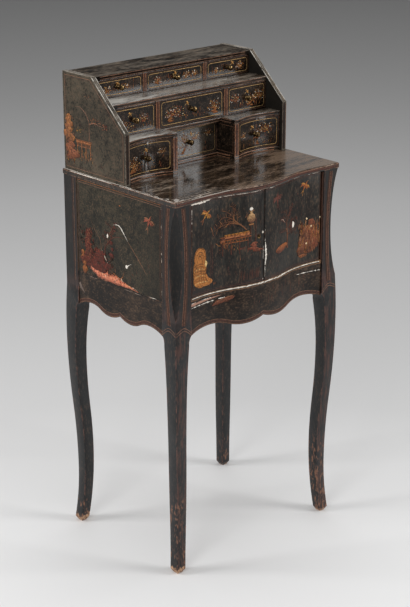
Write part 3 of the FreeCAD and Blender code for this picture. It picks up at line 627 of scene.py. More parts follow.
def blossom(brush, u, v, wide, high, count, tones):
    """A cluster of small dabs, for flowers and leaves seen from afar."""
    for dab in range(count):
        angle, reach = brush.some(0, 2 * math.pi), math.sqrt(brush.dice.random())
        size = brush.some(1.0, 2.4)
        brush.patch(u + wide / 2 * reach * math.cos(angle), v + high / 2 * reach * math.sin(angle),
                    size, size * 0.8, tones[dab % len(tones)], 0.3, 0.3, angle, 6)


def spray(brush, u, v, reach, turn, bark, leaves, count=9, full=0.42):
    """One bough with its leaves in pairs, broad or as thin as twigs."""
    def on_bough(share):
        bend = turn + 0.5 * share
        return (u + reach * share * math.cos(bend), v + reach * share * math.sin(bend))

    brush.stroke([on_bough(share) for share in (0, 0.35, 0.7, 1)], max(reach * 0.045, 0.8), bark,
                 tail, 0.2, 0.3, 1.5)
    for number in range(count):
        share = 0.25 + 0.75 * number / (count - 1)
        side = turn + 0.5 * share + (1 if number % 2 else -1) * brush.some(0.6, 1.3)
        x, y = on_bough(share)
        size = brush.some(0.1, 0.2) * reach + 1.0
        brush.stroke([(x, y), (x + size * math.cos(side), y + size * math.sin(side))], size * full,
                     leaves[number % len(leaves)], leaf, 0.2, 0.3, 1)


def tree(brush, u, v, high, lean, bark, leaves, boughs=6):
    """A crooked tree: a tapered trunk with boughs to both sides."""
    trunk = [(u, v), (u + lean * 0.1, v + high * 0.3), (u + lean * 0.7, v + high * 0.6),
             (u + lean, v + high)]
    brush.stroke(trunk, high * 0.06 + 1, bark, tail, 0.25, 0.5, 1.5)
    line = flowing(trunk, 2)
    for bough in range(boughs):
        foot = line[int(len(line) * (0.35 + 0.62 * bough / boughs))]
        turn = math.pi / 2 + (1 if bough % 2 else -1) * brush.some(0.5, 1.2) - 0.25
        spray(brush, *foot, high * brush.some(0.25, 0.42), turn, bark, leaves)


def grass(brush, u, v, wide, count, tones):
    """Tufts of grass along a bank."""
    for blade in range(count):
        foot = u + wide * (brush.dice.random() - 0.5)
        high = brush.some(4, 10)
        brush.stroke([(foot, v), (foot + brush.some(-3, 3), v + high)], 0.9,
                     tones[blade % len(tones)], leaf, step=1)


def torn(share):
    """The strip that has come away, widest near its start."""
    return 0.5 + 0.9 * math.sin(3 * min(share + 0.12, 1)) ** 2 - 0.45 * share


def lost_flakes(art, front_u):
    """Where the left panel has lost its varnish: a torn coral strip, white chips, bared twigs."""
    art.stroke([(-92, 571), (-78, 566), (-50, 562), (-10, 560), (24, 557), (48, 554)], 17, CORAL,
               torn, 0.3, 0.8)
    art.chips(
        ([(-86, 572), (-60, 567), (0, 562), (44, 557)], 2.6, seen(222, 178, 156), 0.6, 10),
        ([(-70, 563), (-40, 559), (0, 558), (40, 555)], 2.4, seen(120, 62, 46), 0.7, 12))
    for ends in (((-62, 566), (-30, 560)), ((-40, 565), (-6, 561)), ((-8, 560), (22, 557)),
                 ((8, 561), (34, 557))):
        art.stroke(ends, 2.6, seen(214, 142, 96), leaf, 0.5, 1.3)
    haze(art, -30, 561, 80, 8, 30, (seen(236, 196, 168), seen(150, 74, 54), seen(206, 130, 96)),
         1.6, 1.4)
    art.flakes([(front_u - 1.5, 560), (front_u - 1.5, 736)], 1.4, seen(186, 172, 154, 0.9), 0.3, 6)
    art.patch(-40, 644, 5.5, 8, CREAM, 0.4)
    art.patch(16, 597, 9, 6, CREAM, 0.5)
    art.strokes(
        ([(16, 597), (24, 602), (29, 604)], 2.2, CREAM, tail, 0.5),
        ([(-23, 669), (-14, 672), (-4, 671), (6, 662), (20, 646)], 2.6, CREAM, leaf, 0.5),
        ([(18, 648), (40, 628), (56, 612), (76, 592)], 3.0, TWIG, leaf, 0.3),
        ([(-58, 612), (-48, 598), (-38, 584)], 2.4, seen(200, 184, 164, 0.9), leaf, 0.4, 0.3),
        ([(-34, 636), (-22, 645), (-6, 649), (8, 650)], 1.8, DULL_RED, leaf, 0.3),
        ([(-26, 662), (-34, 650), (-40, 634), (-42, 616)], 1.8, TWIG, leaf, 0.3),
        ([(-30, 576), (-8, 568), (2, 572), (8, 586)], 2.4, ORANGE, leaf, 0.4),
        ([(-92, 668), (-78, 648), (-63, 632), (-58, 610), (-46, 595), (-33, 578), (-8, 571)], 2.2,
         TWIG, leaf, 0.3))
    art.flakes([(48, 551), (112, 555)], 1.6, CREAM, 0.8, 14)


for side, outward, across, inward in SIDES:
    way = -outward
    panel = "side_panel_" + side
    dress(panel, japanned("varnish_" + panel, seen(32, 29, 21), seen(54, 49, 37), BROWN_RUB,
                          rub=0.5, shine=0.3, bare=inward, worn=painted_shade_front))
    front_u = -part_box("leg_front_" + side)[1][1] / MM * way
    back_u = -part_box("leg_back_" + side)[0][1] / MM * way
    bottom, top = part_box("case_floor")[0][2] / MM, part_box("table_top")[0][2] / MM
    wide = abs(front_u - back_u)
    art = Brushwork(panel, panel, across, corner=(PANEL_OUT * outward * MM, 0, 0))
    for drop, tone in ((3.5, ORANGE), (7.5, LINE_BROWN)):
        art.stroke([(back_u + way * 3, top - drop), (front_u - way * 3, top - drop)], 1.2, tone,
                   rag=0.25)
    for inset in (3.5, 6.5):
        for u in (back_u + way * inset, front_u - way * inset):
            art.stroke([(u, bottom + 6), (u, top - 12)], 0.9, DULL_RED, rag=0.25)

    def at(share, rise):
        return (back_u + way * wide * share, bottom + rise)

    rock(art, *at(0.13, 14), 58, 84, RED, COPPERY, 14)
    rock(art, *at(0.27, 10), 90, 50, RED, DULL_RED, 13)
    rock(art, *at(0.06, 2), 28, 44, ORANGE, GOLD, 4)
    rock(art, *at(0.41, 50), 22, 34, RED, DULL_RED, 3)
    haze(art, *at(0.25, 56), 110, 80, 70, (DULL_RED, RED, DULL_RED, COPPERY))
    haze(art, *at(0.12, 54), 44, 70, 100, RED_ROCK, 1.9, 0.75)
    haze(art, *at(0.27, 34), 84, 44, 150, LOW_ROCK, 1.7, 0.75)
    tree(art, *at(0.33, 50), 62, way * 26, DULL_RED, (DULL_RED, BAND_BROWN), 6)
    spray(art, *at(0.36, 90), 40, 0.4 if way > 0 else 2.4, DULL_RED, (DULL_RED, RED))
    bird(art, *at(0.86, top - bottom - 42), 26, seen(150, 78, 58), COPPERY, 0.9 if way > 0 else 2.2)
    haze(art, *at(0.55, 18), 130, 24, 40, (DULL_RED, BAND_BROWN))
    haze(art, *at(0.8, 70), 50, 90, 24, (DULL_RED, BAND_BROWN))
    art.patch(*at(0.52, top - bottom - 30), 4, 3, ORANGE, 0.4)
    if side == "left":
        lost_flakes(art, front_u)
    art.done("painting_" + panel, "case")

# Back panel and cupboard floor: plain unpainted boards, grooved and housed between the stiles.
# Only the floor's front edge shows, under the doors, where its varnish has chipped to the chalk.
boards, place = new_finish("plain_board")
streaks = place.grain(70, 6, (0.05, 1, 1))
rings = place.grain(260, 4, (0.04, 1, 1))
board_colour = (streaks * 0.6 + rings * 0.4).between(0.32, 0.68)
board_colour = board_colour.blend(seen(156, 118, 82), seen(104, 72, 48))
board_colour = (place.grain(7, 3).between(0.4, 0.8) * 0.5).blend(board_colour, seen(84, 62, 46))
place.coat(boards, board_colour, 0.62 + rings * 0.2, streaks + rings * 0.6, 0.4 * MM)
for name in ("back_panel", "case_floor"):
    dress(name, boards)

LEDGE_HALF = 168


def swelling(share):
    """A chipped line that is widest in the middle."""
    return 0.7 + 0.6 * leaf(share) ** 5


low, high = corners("case_floor")
ledge = Brushwork("ledge", "case_floor", RIGHTWARD)
middle = (low.z + high.z) / 2
for rise, width, tone, shape, rag, lift, step in (
        (0.0, high.z - low.z - 1.2, seen(44, 36, 30), even, 0.05, 0.12, 2.5),
        (0.8, 2.9, CREAM, swelling, 0.5, 0.3, 3.0)):
    ledge.stroke([(-LEDGE_HALF, middle + rise), (LEDGE_HALF, middle + rise)], width, tone, shape,
                 rag, lift, step)
ledge.done("chipped_ledge", "case")

# Table top: one board with a serpentine front, pinned down on the stiles. Its varnish is the
# glossiest of the desk, worn to brown in streaks along its length, chipped white on the ledge
# beside the nest of drawers, with a red-brown edge. Toward its right end the brown is partly a
# painted reflection.
TOP_BROWN, TOP_GREY = seen(116, 96, 79), seen(144, 131, 117)


def wear_and_painted_reflection_top(place, fine):
    streak = place.grain(40, 8, (0.25, 1, 1)) * 0.75 + fine * 0.45
    left_end = 1 - place.along("X").between(-0.2, -0.02)
    # Toward the right end the rubbed brown is partly wear and partly a painted reflection of the
    # nest of drawers.
    right_end_wear_and_reflection = place.along("X").between(0.04, 0.2)
    near_front = 1 - place.along("Y").between(-0.165, -0.1)
    rubbed = (streak - left_end * 0.02 + right_end_wear_and_reflection * 0.14 + near_front * 0.08).between(0.58, 0.8)
    return rubbed * place.toward(UP) * 0.85, (left_end * 0.8).blend(TOP_BROWN, TOP_GREY)


def rippled(share):
    """A chipped line that swells and narrows on its way."""
    return 0.8 + 0.35 * math.sin(9 * share) - 0.2 * share


dress("table_top", japanned(
    "varnish_table_top", seen(24, 18, 13), seen(48, 38, 29), seen(134, 94, 72), rub=0.7, shine=0.0,
    gloss=0.5, drawn=(0.25, 1, 1), bare=DOWN, worn=wear_and_painted_reflection_top), 0.8)
low, high = corners("table_top")
top, middle = high.z, (low.z + high.z) / 2
TOP_EDGES = (("front", RIGHTWARD, (0.0, low.y * MM, 0.0), low.x + 3, high.x - 3),
             ("left", FORWARD, (low.x * MM, 0.0, 0.0), -high.y + 3, -low.y - 8),
             ("right", BACKWARD, (high.x * MM, 0.0, 0.0), low.y + 8, high.y - 3))
for view, across, corner, start, stop in TOP_EDGES:
    edge = Brushwork("top edge " + view, "table_top", across, corner=corner)
    if view == "front":
        edge.stroke([(start, middle), (stop, middle)], 7.6, seen(88, 52, 42), even, 0.05, 0.1)
        edge.chips(
            ([(start, top - 2), (start + 130, top - 1.6)], 2.0,
             seen(196, 186, 174, 0.9), 0.7, 20),
            ([(start + 130, top - 1.4), (stop, top - 1.4)], 1.6,
             seen(166, 146, 130, 0.8), 0.55, 24))
    edge.stroke([(start, top - 2.0), (stop, top - 2.0)], 1.8, seen(134, 98, 78), rag=0.4)
    if view == "left":
        edge.stroke([(-150, top - 1.3), (-90, top - 1.4), (-20, top - 1.2)], 2.5, CREAM,
                    leaf, 0.4, 0.2, 3.0)
        edge.flakes([(0, top - 1.3), (stop, top - 1.3)], 2.4, seen(196, 188, 178, 0.9), 0.85, 26)
    edge.done("top_edge_band_" + view, "case")

marks = Brushwork("top marks", "table_top", RIGHTWARD, BACKWARD, (0, 0, top * MM))
ledge_x = (low.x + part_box("nest_wing_left")[0][0] / MM) / 2
edge_x = low.x + 1.6
marks.stroke([(ledge_x, 168), (ledge_x, 100), (ledge_x, 30), (ledge_x - 0.3, -30)], 3.8, CREAM,
             rippled, 0.4, 0.3, 3.0)
marks.chips(
    ([(ledge_x, 160), (ledge_x, 30), (ledge_x - 0.3, -110)], 3.0,
     seen(206, 198, 188, 0.9), 0.7, 30),
    ([(-211, -152), (-180, -155), (-120, -148)], 5.0, seen(186, 176, 164, 0.9), 0.8, 26),
    ([(-204, -122), (-196, -140), (-150, -146), (-110, -138)], 2.4,
     seen(160, 148, 136, 0.8), 0.6, 24),
    ([(edge_x, 160), (edge_x, -60), (edge_x, -150)], 1.4, seen(188, 180, 170, 0.9), 0.7, 30))
for u, v, reach, wide, turn in ((-200, -146, 20, 9, 0.9), (-190, -152, 16, 6, 0.3),
                                (-206, -130, 12, 5, 1.4)):
    marks.patch(u, v, reach, wide, seen(166, 158, 150, 0.8), 0.5, 0.08, turn)
for scratch in range(16):
    u, v, run = marks.some(-170, 150), marks.some(-140, -20), marks.some(14, 60)
    marks.stroke([(u, v), (u + run / 2, v + marks.some(-3, 3)), (u + run, v + marks.some(-5, 5))],
                 0.7, seen(120, 98, 82), leaf, 0.4, 0.05)
marks.done("wear_table_top", "case")

# Doors: two serpentine leaves hung on pins at their outer edges, meeting in the middle. Black
# varnish with rocks, trees, birds, a garden table and a covered vase in raised gold and red;
# the edges and the meeting seam have lost chips of varnish.
OCHRE, UMBER, SEAM_SHADE = seen(176, 112, 54, 0.1), seen(70, 40, 22), seen(10, 8, 7)
WORN_LEAVES = (seen(54, 44, 38), seen(66, 50, 40), seen(46, 46, 46))
DOOR_FOOT, DOOR_HEAD = 562, 739
CHIPPED_HEAD = 738.8
HANGING_EDGE = 145


def garden_table(brush, u, v, wide, high, body, edge):
    """A low garden table: slab, legs, rail and a panel of lattice."""
    head, rail = v + high * 0.94, v + high * 0.74
    brush.strokes(
        ([(u, v + high), (u + wide, v + high * 1.02)], 5.5, body, even, 0.12, 0.5),
        ([(u - 3, v + high + 3.5), (u + wide + 3, v + high * 1.02 + 3.5)], 1.2, edge,
         even, 0.2, 0.6),
        ([(u + 3, v + high * 0.72), (u + wide - 3, rail)], 1.6, edge, even, 0.2, 0.4))
    for share in (0.06, 0.36, 0.64, 0.94):
        brush.stroke([(u + wide * share, v), (u + wide * share, v + high * 0.95)], 2.2, body,
                     even, 0.15, 0.45)
    for number in range(9):
        x = u + wide * (0.1 + 0.8 * number / 8)
        for path in ([(x, rail), (x + wide * 0.06, head)], [(x + wide * 0.06, rail), (x, head)]):
            brush.stroke(path, 0.8, edge, leaf, 0.1, 0.35, 1)


def covered_vase(brush, u, v, high, body, edge):
    """A vase with a foot, a round body, a neck and a knobbed cover."""
    lip = high * 0.16
    brush.patch(u, v + high * 0.36, high * 0.54, high * 0.52, body, 0.04, 0.6, foot=DULL_RED)
    brush.strokes(
        ([(u - lip, v + 1), (u + lip, v + 1)], high * 0.1, edge, even, 0.1, 0.5, 1),
        ([(u, v + high * 0.58), (u, v + high * 0.74)], high * 0.18, body, even, 0.1, 0.5, 1),
        ([(u - lip, v + high * 0.76), (u + lip, v + high * 0.76)], high * 0.07, edge,
         even, 0.1, 0.6, 1))
    brush.patch(u, v + high * 0.86, high * 0.22, high * 0.18, CREAM, 0.08, 0.6)
    for band in (0.24, 0.48):
        brush.stroke([(u - high * 0.22, v + high * band), (u, v + high * (band - 0.04)),
                      (u + high * 0.22, v + high * band)], 0.9, edge, even, 0.1, 0.75, 1)


def paint_left_leaf(art):
    """A bird, a tall boulder, a garden table under a bare tree, a covered vase, then the chips."""
    bird(art, -128, 711, 23, GOLD, ORANGE, 0.5)
    for u, v, wide, tall in ((-146, 630, 33, 46), (-147, 608, 35, 56), (-145, 590, 40, 32),
                             (-132, 582, 36, 16)):
        art.patch(u, v, wide, tall, OCHRE, 0.08, 0.4)
    for arch in range(3):
        half, rise = 14.0 - 3.6 * arch, 650 - 7.0 * arch
        art.stroke([(-147 - half, 616 - arch), (-147 - half * 0.85, rise - 11), (-146, rise),
                    (-145 + half * 0.8, rise - 9), (-146 + half, 620 + arch)], 1.6,
                   (UMBER, SOOT)[arch % 2], leaf, 0.5, 0.9)
    for row in range(9):
        v, right = 618 - 4.4 * row, -131 + 0.34 * max(row - 3, 0) ** 2
        art.stroke([(-162, v - 1), (-150, v + 1.5), (right - 8, v), (right, v - 3)], 1.6,
                   (UMBER, SOOT, PALE_GOLD)[row % 3], leaf, 0.4, 0.9)
    for column in range(6):
        u = -160 + 5.4 * column
        art.stroke([(u, 622), (u + 0.6, 606), (u + 0.5 * column, 590), (u + 1.6 * column, 580)],
                   1.3, UMBER, leaf, 0.4, 0.85)
    for u in (-119, -115.5):
        art.stroke([(u, 584), (u + 1, 652)], 0.9, DULL_RED, rag=0.3)
    art.patch(-131, 618, 6, 15, PALE_GOLD, 0.3, 0.7)
    grass(art, -138, 572, 60, 14, (ORANGE, DULL_RED))
    haze(art, -95, 596, 120, 30, 50, (DULL_RED, BAND_BROWN, BAND_BROWN))
    haze(art, -60, 655, 110, 90, 60, (DULL_RED, BAND_BROWN, ORANGE))
    haze(art, -86, 650, 160, 160, 120, WORN_LEAVES)
    garden_table(art, -95, 624, 60, 32, DULL_RED, ORANGE)
    art.strokes(([(-87, 658), (-36, 660)], 9.5, seen(178, 112, 68, 0.1), even, 0.08, 0.5),
                ([(-97, 651), (-87, 654)], 9, seen(136, 82, 50), even, 0.1, 0.45))
    haze(art, -62, 657, 46, 5, 26, (SOOT, DULL_RED, GOLD), 1.2, 0.75)
    art.strokes(([(-88, 663), (-36, 665)], 1.6, GOLD, even, 0.3, 0.6),
                ([(-88, 653), (-32, 655)], 1.8, ORANGE, even, 0.3, 0.6))
    haze(art, -78, 640, 44, 26, 50, (DULL_RED, ORANGE, GOLD))
    bark = seen(132, 86, 54)
    art.stroke([(-42, 668), (-52, 677), (-66, 688), (-78, 697)], 3.0, bark, tail, 0.3, 0.4)
    for u, v, reach, turn in ((-54, 680, 60, 2.75), (-60, 684, 44, 2.3), (-66, 688, 36, 1.9),
                              (-70, 692, 30, 1.2), (-62, 686, 30, 1.3), (-58, 682, 46, 2.6)):
        spray(art, u, v, reach, turn, bark, (bark, DULL_RED, BAND_BROWN), 13, 0.16)
    covered_vase(art, -32, 676, 36, seen(192, 152, 106, 0.2), seen(150, 100, 58))
    art.strokes(([(-33, 644), (-33, 676)], 3.2, BAND_BROWN, even, 0.25, 0.3),
                ([(-21, 642), (-21, 687)], 2.0, DULL_RED, even, 0.25, 0.3))
    rock(art, -25, 621, 34, 20, seen(134, 68, 46), COPPERY, 6)
    art.stroke([(-60, 632), (-44, 634)], 5, DULL_RED, leaf, 0.3, 0.3)
    for reed in range(22):
        u = art.some(-58, -8)
        art.stroke([(u, 568), (u + 1, 580 + art.some(0, 12))], 1.4,
                   (DULL_RED, BAND_BROWN)[reed % 2], leaf, 0.3)
    art.chips(([(-167, 700), (-167, 735)], 1.6, CREAM, 0.6, 10),
              ([(-167, 575), (-167, 690)], 1.0, seen(170, 156, 140, 0.9), 0.25, 18))
    for u, wide, tall in ((-166, 16, 4.0), (-154, 15, 5.0), (-143, 13, 5.6), (-134, 9, 5.0),
                          (-126, 11, 3.0)):
        art.patch(u, 739.6 - tall / 2, wide, tall * 0.8, CREAM, 0.35, 0.2)
    art.flakes([(-160, 738.6), (-100, CHIPPED_HEAD), (-8, CHIPPED_HEAD)], 1.8, CREAM, 0.6, 20)
    # Painted shade: a black stripe beside the meeting seam, for the shadow in the gap between the
    # leaves.
    art.stroke([(-1.8, DOOR_FOOT), (-1.8, DOOR_HEAD)], 2.6, SEAM_SHADE, lift=0.08)
    art.flakes([(-2.4, DOOR_FOOT), (-2.2, 630)], 2.0, CREAM, 0.5, 8)
    art.patch(-4, 657, 5, 5, seen(214, 204, 190, 0.9), 0.4)


def paint_right_leaf(art):
    """Two birds, a thin tree, a streaked heap of rock, a stone on the bank, then the chips."""
    bird(art, 38, 714, 25, seen(104, 58, 48), DULL_RED, 1.3)
    bird(art, 128, 718, 22, ORANGE, GOLD, 0.7)
    tree(art, 74, 606, 76, -4, seen(104, 62, 44), (BAND_BROWN, DULL_RED), 8)
    haze(art, 93, 642, 30, 32, 44, (DULL_RED, BAND_BROWN, RED), 1.4, 0.3)
    haze(art, 80, 655, 90, 100, 60, (BAND_BROWN, DULL_RED))
    haze(art, 86, 650, 160, 160, 120, WORN_LEAVES)
    rock(art, 148, 578, 60, 74, seen(134, 72, 46), COPPERY, 12)
    rock(art, 128, 580, 44, 56, seen(116, 66, 44), COPPERY, 8)
    streaks = (seen(182, 130, 90), SOOT, ORANGE, DULL_RED, COPPERY, GOLD)
    for number in range(140):
        u, v = art.some(110, 169), art.some(580, 634)
        art.stroke([(u, v), (u + art.some(-4, 4), v + art.some(6, 18))], 1.9, streaks[number % 6],
                   leaf, 0.4, 0.8)
    rock(art, 128, 574, 36, 24, ORANGE, COPPERY, 4)
    art.patch(55, 611, 36, 13, ORANGE, 0.25, 0.4, 0.15, foot=DULL_RED)
    art.strokes(
        ([(42, 611), (58, 617), (69, 616)], 2.0, COPPERY, leaf, 0.25, 0.5),
        ([(48, 668), (56, 667), (64, 659)], 2.0, seen(190, 160, 144, 0.9), leaf, 0.4, 0.4),
        ([(70, 646), (75, 634), (74, 612)], 2.6, COPPERY, tail, 0.3, 0.4))
    art.patch(94, 648, 7, 12, CREAM, 0.4)
    for u, v in ((133, 651), (133, 601), (168, 648), (145, 634)):
        art.patch(u, v, 3.6, 4.0, seen(232, 206, 166, 0.9), 0.3, 0.9)
    art.chips(([(171, 572), (171, 640), (171, 735)], 1.5, CREAM, 0.4, 14),
              ([(10, CHIPPED_HEAD), (165, CHIPPED_HEAD)], 1.4, CREAM, 0.25, 14))
    # Painted shade: a black stripe beside the meeting seam, for the shadow in the gap between the
    # leaves.
    art.stroke([(1.8, DOOR_FOOT), (1.8, DOOR_HEAD)], 2.6, SEAM_SHADE, lift=0.08)
    art.stroke([(3, 636), (4, 624), (5, 610), (3.5, 590)], 7, CREAM, leaf, 0.7, 0.2)
    art.chips(([(2.6, 566), (2.6, 600)], 2.2, CREAM, 0.7, 9),
              ([(2.4, 634), (2.4, 664)], 1.6, CREAM, 0.5, 8))


door_varnish = japanned("varnish_doors", seen(28, 21, 17), seen(44, 43, 38), BROWN_RUB, rub=0.55,
                        shine=0.26, drawn=(1, 1, 0.4), bare=BACKWARD)
for side, paint_leaf in (("left", paint_left_leaf), ("right", paint_right_leaf)):
    door = "door_" + side
    dress(door, door_varnish)
    low, high = corners(door)
    art = Brushwork(door, door, RIGHTWARD, corner=(0, low.y * MM, 0), thin_beyond=HANGING_EDGE)
    left, right = low.x + 1, high.x - 1
    for inset, width, tone in ((3.0, 1.2, DULL_RED), (6.0, 0.8, BAND_BROWN)):
        bottom, top = low.z + inset, high.z - inset
        hung = left + inset if side == "left" else right - inset
        for path in (((left, bottom), (right, bottom)), ((left, top), (right, top)),
                     ((hung, bottom), (hung, top))):
            art.stroke(path, width, tone, rag=0.3)
    paint_leaf(art)
    art.done("painting_" + door, door)

# Door pins, lock and escutcheon: iron pins at the top and foot of each door, an iron lock let into
# the back of the left leaf, and a small worn brass plate round its keyhole.
iron, place = new_finish("dull_iron")
rust = place.grain(180, 5)
iron_colour = rust.between(0.45, 0.7).blend(seen(58, 54, 52), seen(86, 58, 42))
place.coat(iron, iron_colour, 0.5 + rust * 0.2, rust, 0.2 * MM, metal=0.8)
for name in ("door_pins_left", "door_pins_right", "door_lock"):
    dress(name, iron, 0.2)

brass, place = new_finish("aged_brass")
tarnish = place.grain(260, 4)
brass_colour = tarnish.between(0.36, 0.6).blend(seen(140, 114, 76), seen(52, 40, 29))
place.coat(brass, brass_colour, 0.16 + tarnish * 0.25, tarnish, 0.12 * MM, metal=1.0)
dress("keyhole_escutcheon", brass, 0.2)

# Nest of drawers: wings, back, top, treads, base and dividers of thin board, housed together
# and pinned to the table top. Varnished outside, greyed with wear on the wings' edges and
# dusty on the treads, with a painted highlight at the treads' left end and painted shade on the
# wings' inner faces; the dividers' front edges are red between two gilt lines.
NOSE_END = 11
GREY_RUB, TAN = seen(122, 112, 100), seen(160, 100, 60)
WING_BARK = seen(138, 100, 80)
WING_BOUGHS = (((92, 62), (91, 84), (92, 106)), ((92, 104), (103, 119), (120, 127), (136, 125)),
               ((92, 98), (75, 103), (56, 100), (40, 102)))
WING_BLOSSOM = ((46, 100, 30, (RED, COPPERY, RED)), (78, 106, 24, (COPPERY, ORANGE)),
                (62, 106, 10, (COPPERY, RED)), (94, 148, 8, (BAND_BROWN, COPPERY)),
                (124, 82, 24, (seen(122, 108, 60), seen(92, 86, 54), GOLD)))

for side, hand, across, inward in SIDES:
    # Painted shade: the wings' inner faces are painted darker than their outer faces.
    def painted_shade_inside(place, fine):
        return place.toward(inward) * 0.9, seen(30, 28, 25)

    wing = "nest_wing_" + side
    dress(wing, japanned("varnish_" + wing, seen(54, 48, 38), seen(78, 70, 57), GREY_RUB, rub=0.9,
                         shine=0.26, dust=0.5, worn=painted_shade_inside))
    low, high = corners(wing)
    skin = [vertex.co / MM for vertex in nodes[wing].data.vertices]
    shoulder = max(point.z for point in skin if point.y < low.y + 1)
    crest = min(point.y for point in skin if point.z > high.z - 1)
    outer_x = low.x if side == "left" else high.x
    art = Brushwork(wing, wing, across, corner=(outer_x * MM, 0, 0))
    for inset, width, tone in ((6.0, 1.3, LINE_BROWN), (9.5, 0.9, BAND_BROWN)):
        front, back, foot, head = low.y + inset, high.y - inset, low.z + inset, high.z - inset
        border = ((back, foot), (back, head), (crest + inset * 0.6, head),
                  (front, shoulder - inset * 0.6), (front, foot), (back, foot))
        art.outline([(hand * y, z) for y, z in border], width, tone, 0.2)

    def at(back_y, rise):
        return (hand * back_y, low.z + rise)

    rock(art, *at(150, 56), 42, 54, TAN, GOLD, 7)
    rock(art, *at(148, 22), 44, 50, seen(146, 84, 54), COPPERY, 8)
    haze(art, *at(149, 60), 26, 96, 50, (BAND_BROWN, DULL_RED, GOLD, COPPERY), 1.3, 0.75)
    garden_table(art, min(hand * 131, hand * 86), low.z + 30, 45, 30, TAN, COPPERY)
    haze(art, *at(104, 30), 46, 20, 50, (GOLD, ORANGE, BAND_BROWN, COPPERY))
    for path in WING_BOUGHS:
        art.stroke([at(*point) for point in path], 2.6, WING_BARK, tail, 0.3, 0.4)
    for back_y, rise, count, tones in WING_BLOSSOM:
        blossom(art, *at(back_y, rise), 20, 12, count, tones)
    haze(art, *at(120, 60), 80, 80, 40, (BAND_BROWN, DULL_RED, BAND_BROWN))
    haze(art, *at(60, 20), 100, 18, 26, (BAND_BROWN, BAND_BROWN))
    art.done("painting_" + wing, "case")
    slope = Vector((0, crest - low.y, high.z - shoulder))
    middle_x = (low.x + high.x) / 2
    sawn = Brushwork(wing + " edge", wing, RIGHTWARD, slope.normalized(),
                     Vector((middle_x, low.y, shoulder)) * MM)
    for u, width in ((-4.2, 2.6), (4.2, 2.2)):
        sawn.flakes([(u, 1), (u, slope.length - 1)], width, seen(196, 190, 180, 0.9), 0.85, 34)
    sawn.flakes([(0, 20), (0, slope.length - 4)], 4.0, seen(132, 126, 118), 0.6, 30)
    sawn.done("rubbed_slope_" + wing, "case")
    crown = Brushwork(wing + " crown", wing, RIGHTWARD, BACKWARD, (middle_x * MM, 0, high.z * MM))
    for u, width in ((-4.0, 2.2), (4.0, 2.4), (0.5, 2.0)):
        crown.flakes([(u, crest + 2), (u, high.y - 2)], width, seen(182, 175, 165, 0.9), 0.7, 22)
    crown.done("rubbed_crown_" + wing, "case")
    front = Brushwork(wing + " front", wing, RIGHTWARD, corner=(middle_x * MM, low.y * MM, 0))
    for u, width, tone in ((0, 6.0, seen(36, 26, 22)), (-3.8, 1.1, BAND_BROWN),
                           (3.8, 1.2, LINE_BROWN)):
        front.stroke([(u, low.z + 3), (u, shoulder - 3)], width, tone, rag=0.2)
    front.done("front_edge_" + wing, "case")


def dust_and_painted_highlight_end(place, fine):
    # Dust in streaks on the upward faces, plus a painted highlight: the pale colour is laid on more
    # thickly toward the left end.
    left_end = 1 - place.along("X").between(-0.19, -0.02)
    streak = place.grain(40, 7, (0.25, 1, 1)) * 0.75 + fine * 0.45
    dusty = (streak + left_end * 0.28).between(0.7, 0.86) * place.toward(UP)
    return dusty * 0.9, seen(186, 182, 174)


dress("nest_back", boards)
tread_varnish = japanned("varnish_treads", seen(24, 19, 14), seen(48, 39, 30), seen(158, 132, 112),
                         rub=0.7, dust=0.5, shine=0.06, gloss=0.5, drawn=(0.12, 1, 1),
                         worn=dust_and_painted_highlight_end)
crest_varnish = japanned("varnish_nest_top", seen(14, 11, 9), seen(34, 28, 22), GREY_RUB, rub=0.7,
                         dust=0.3, shine=0.45, gloss=0.03, drawn=(0.25, 1, 1))
for name, finish, tone in (("upper_tread_board", tread_varnish, LINE_BROWN),
                           ("lower_tread_board", tread_varnish, LINE_BROWN),
                           ("nest_top", crest_varnish, LINE_BROWN),
                           ("nest_base", tread_varnish, seen(184, 128, 96))):
    dress(name, finish)
    low, high = corners(name)
    nose = Brushwork(name, name, RIGHTWARD, corner=(0, low.y * MM, 0))
    middle = (low.z + high.z) / 2
    for rise, width in ((-2.4, 1.0), (2.2, 1.4)):
        line = [(low.x + NOSE_END, middle + rise), (high.x - NOSE_END, middle + rise)]
        nose.stroke(line, width, tone, rag=0.25)
    nose.done("nose_lines_" + name, "case")

divider_varnish = japanned("varnish_dividers", seen(24, 19, 15), seen(44, 35, 28),
                           seen(150, 100, 70), rub=0.6, shine=0.12, gloss=0.4)
for name, thick in (("upper_dividers", 8), ("middle_dividers", 9), ("lower_dividers", 11)):
    dress(name, divider_varnish, 0.4)
    low, high = corners(name)
    edge = Brushwork(name, name, RIGHTWARD, corner=(0, low.y * MM, 0))
    for u in (low.x + thick / 2, high.x - thick / 2):
        edge.stroke([(u, low.z + 1.5), (u, high.z - 1.5)], thick * 0.28, DULL_RED, rag=0.2)
        for line_u in (u + thick * -0.33, u + thick * 0.33):
            edge.stroke([(line_u, low.z + 1), (line_u, high.z - 1)], thick * 0.24,
                        seen(162, 110, 80), rag=0.35)
    edge.done("edge_lines_" + name, "case")

for side, across, outward, inner_x in (("left", BACKWARD, -1, low.x + thick),
                                       ("right", FORWARD, 1, high.x - thick)):
    border = Brushwork("block " + side, "lower_dividers", across, corner=(inner_x * MM, 0, 0),
                       reach=30 * MM)
    front_u, back_u = outward * -(low.y + 5), outward * -(low.y + 52)
    foot, head = low.z + 5, high.z - 6
    border.outline(((front_u, foot), (back_u, foot), (back_u, head), (front_u, head),
                    (front_u, foot)), 1.2, LINE_BROWN, 0.3)
    border.done("block_border_" + side, "case")

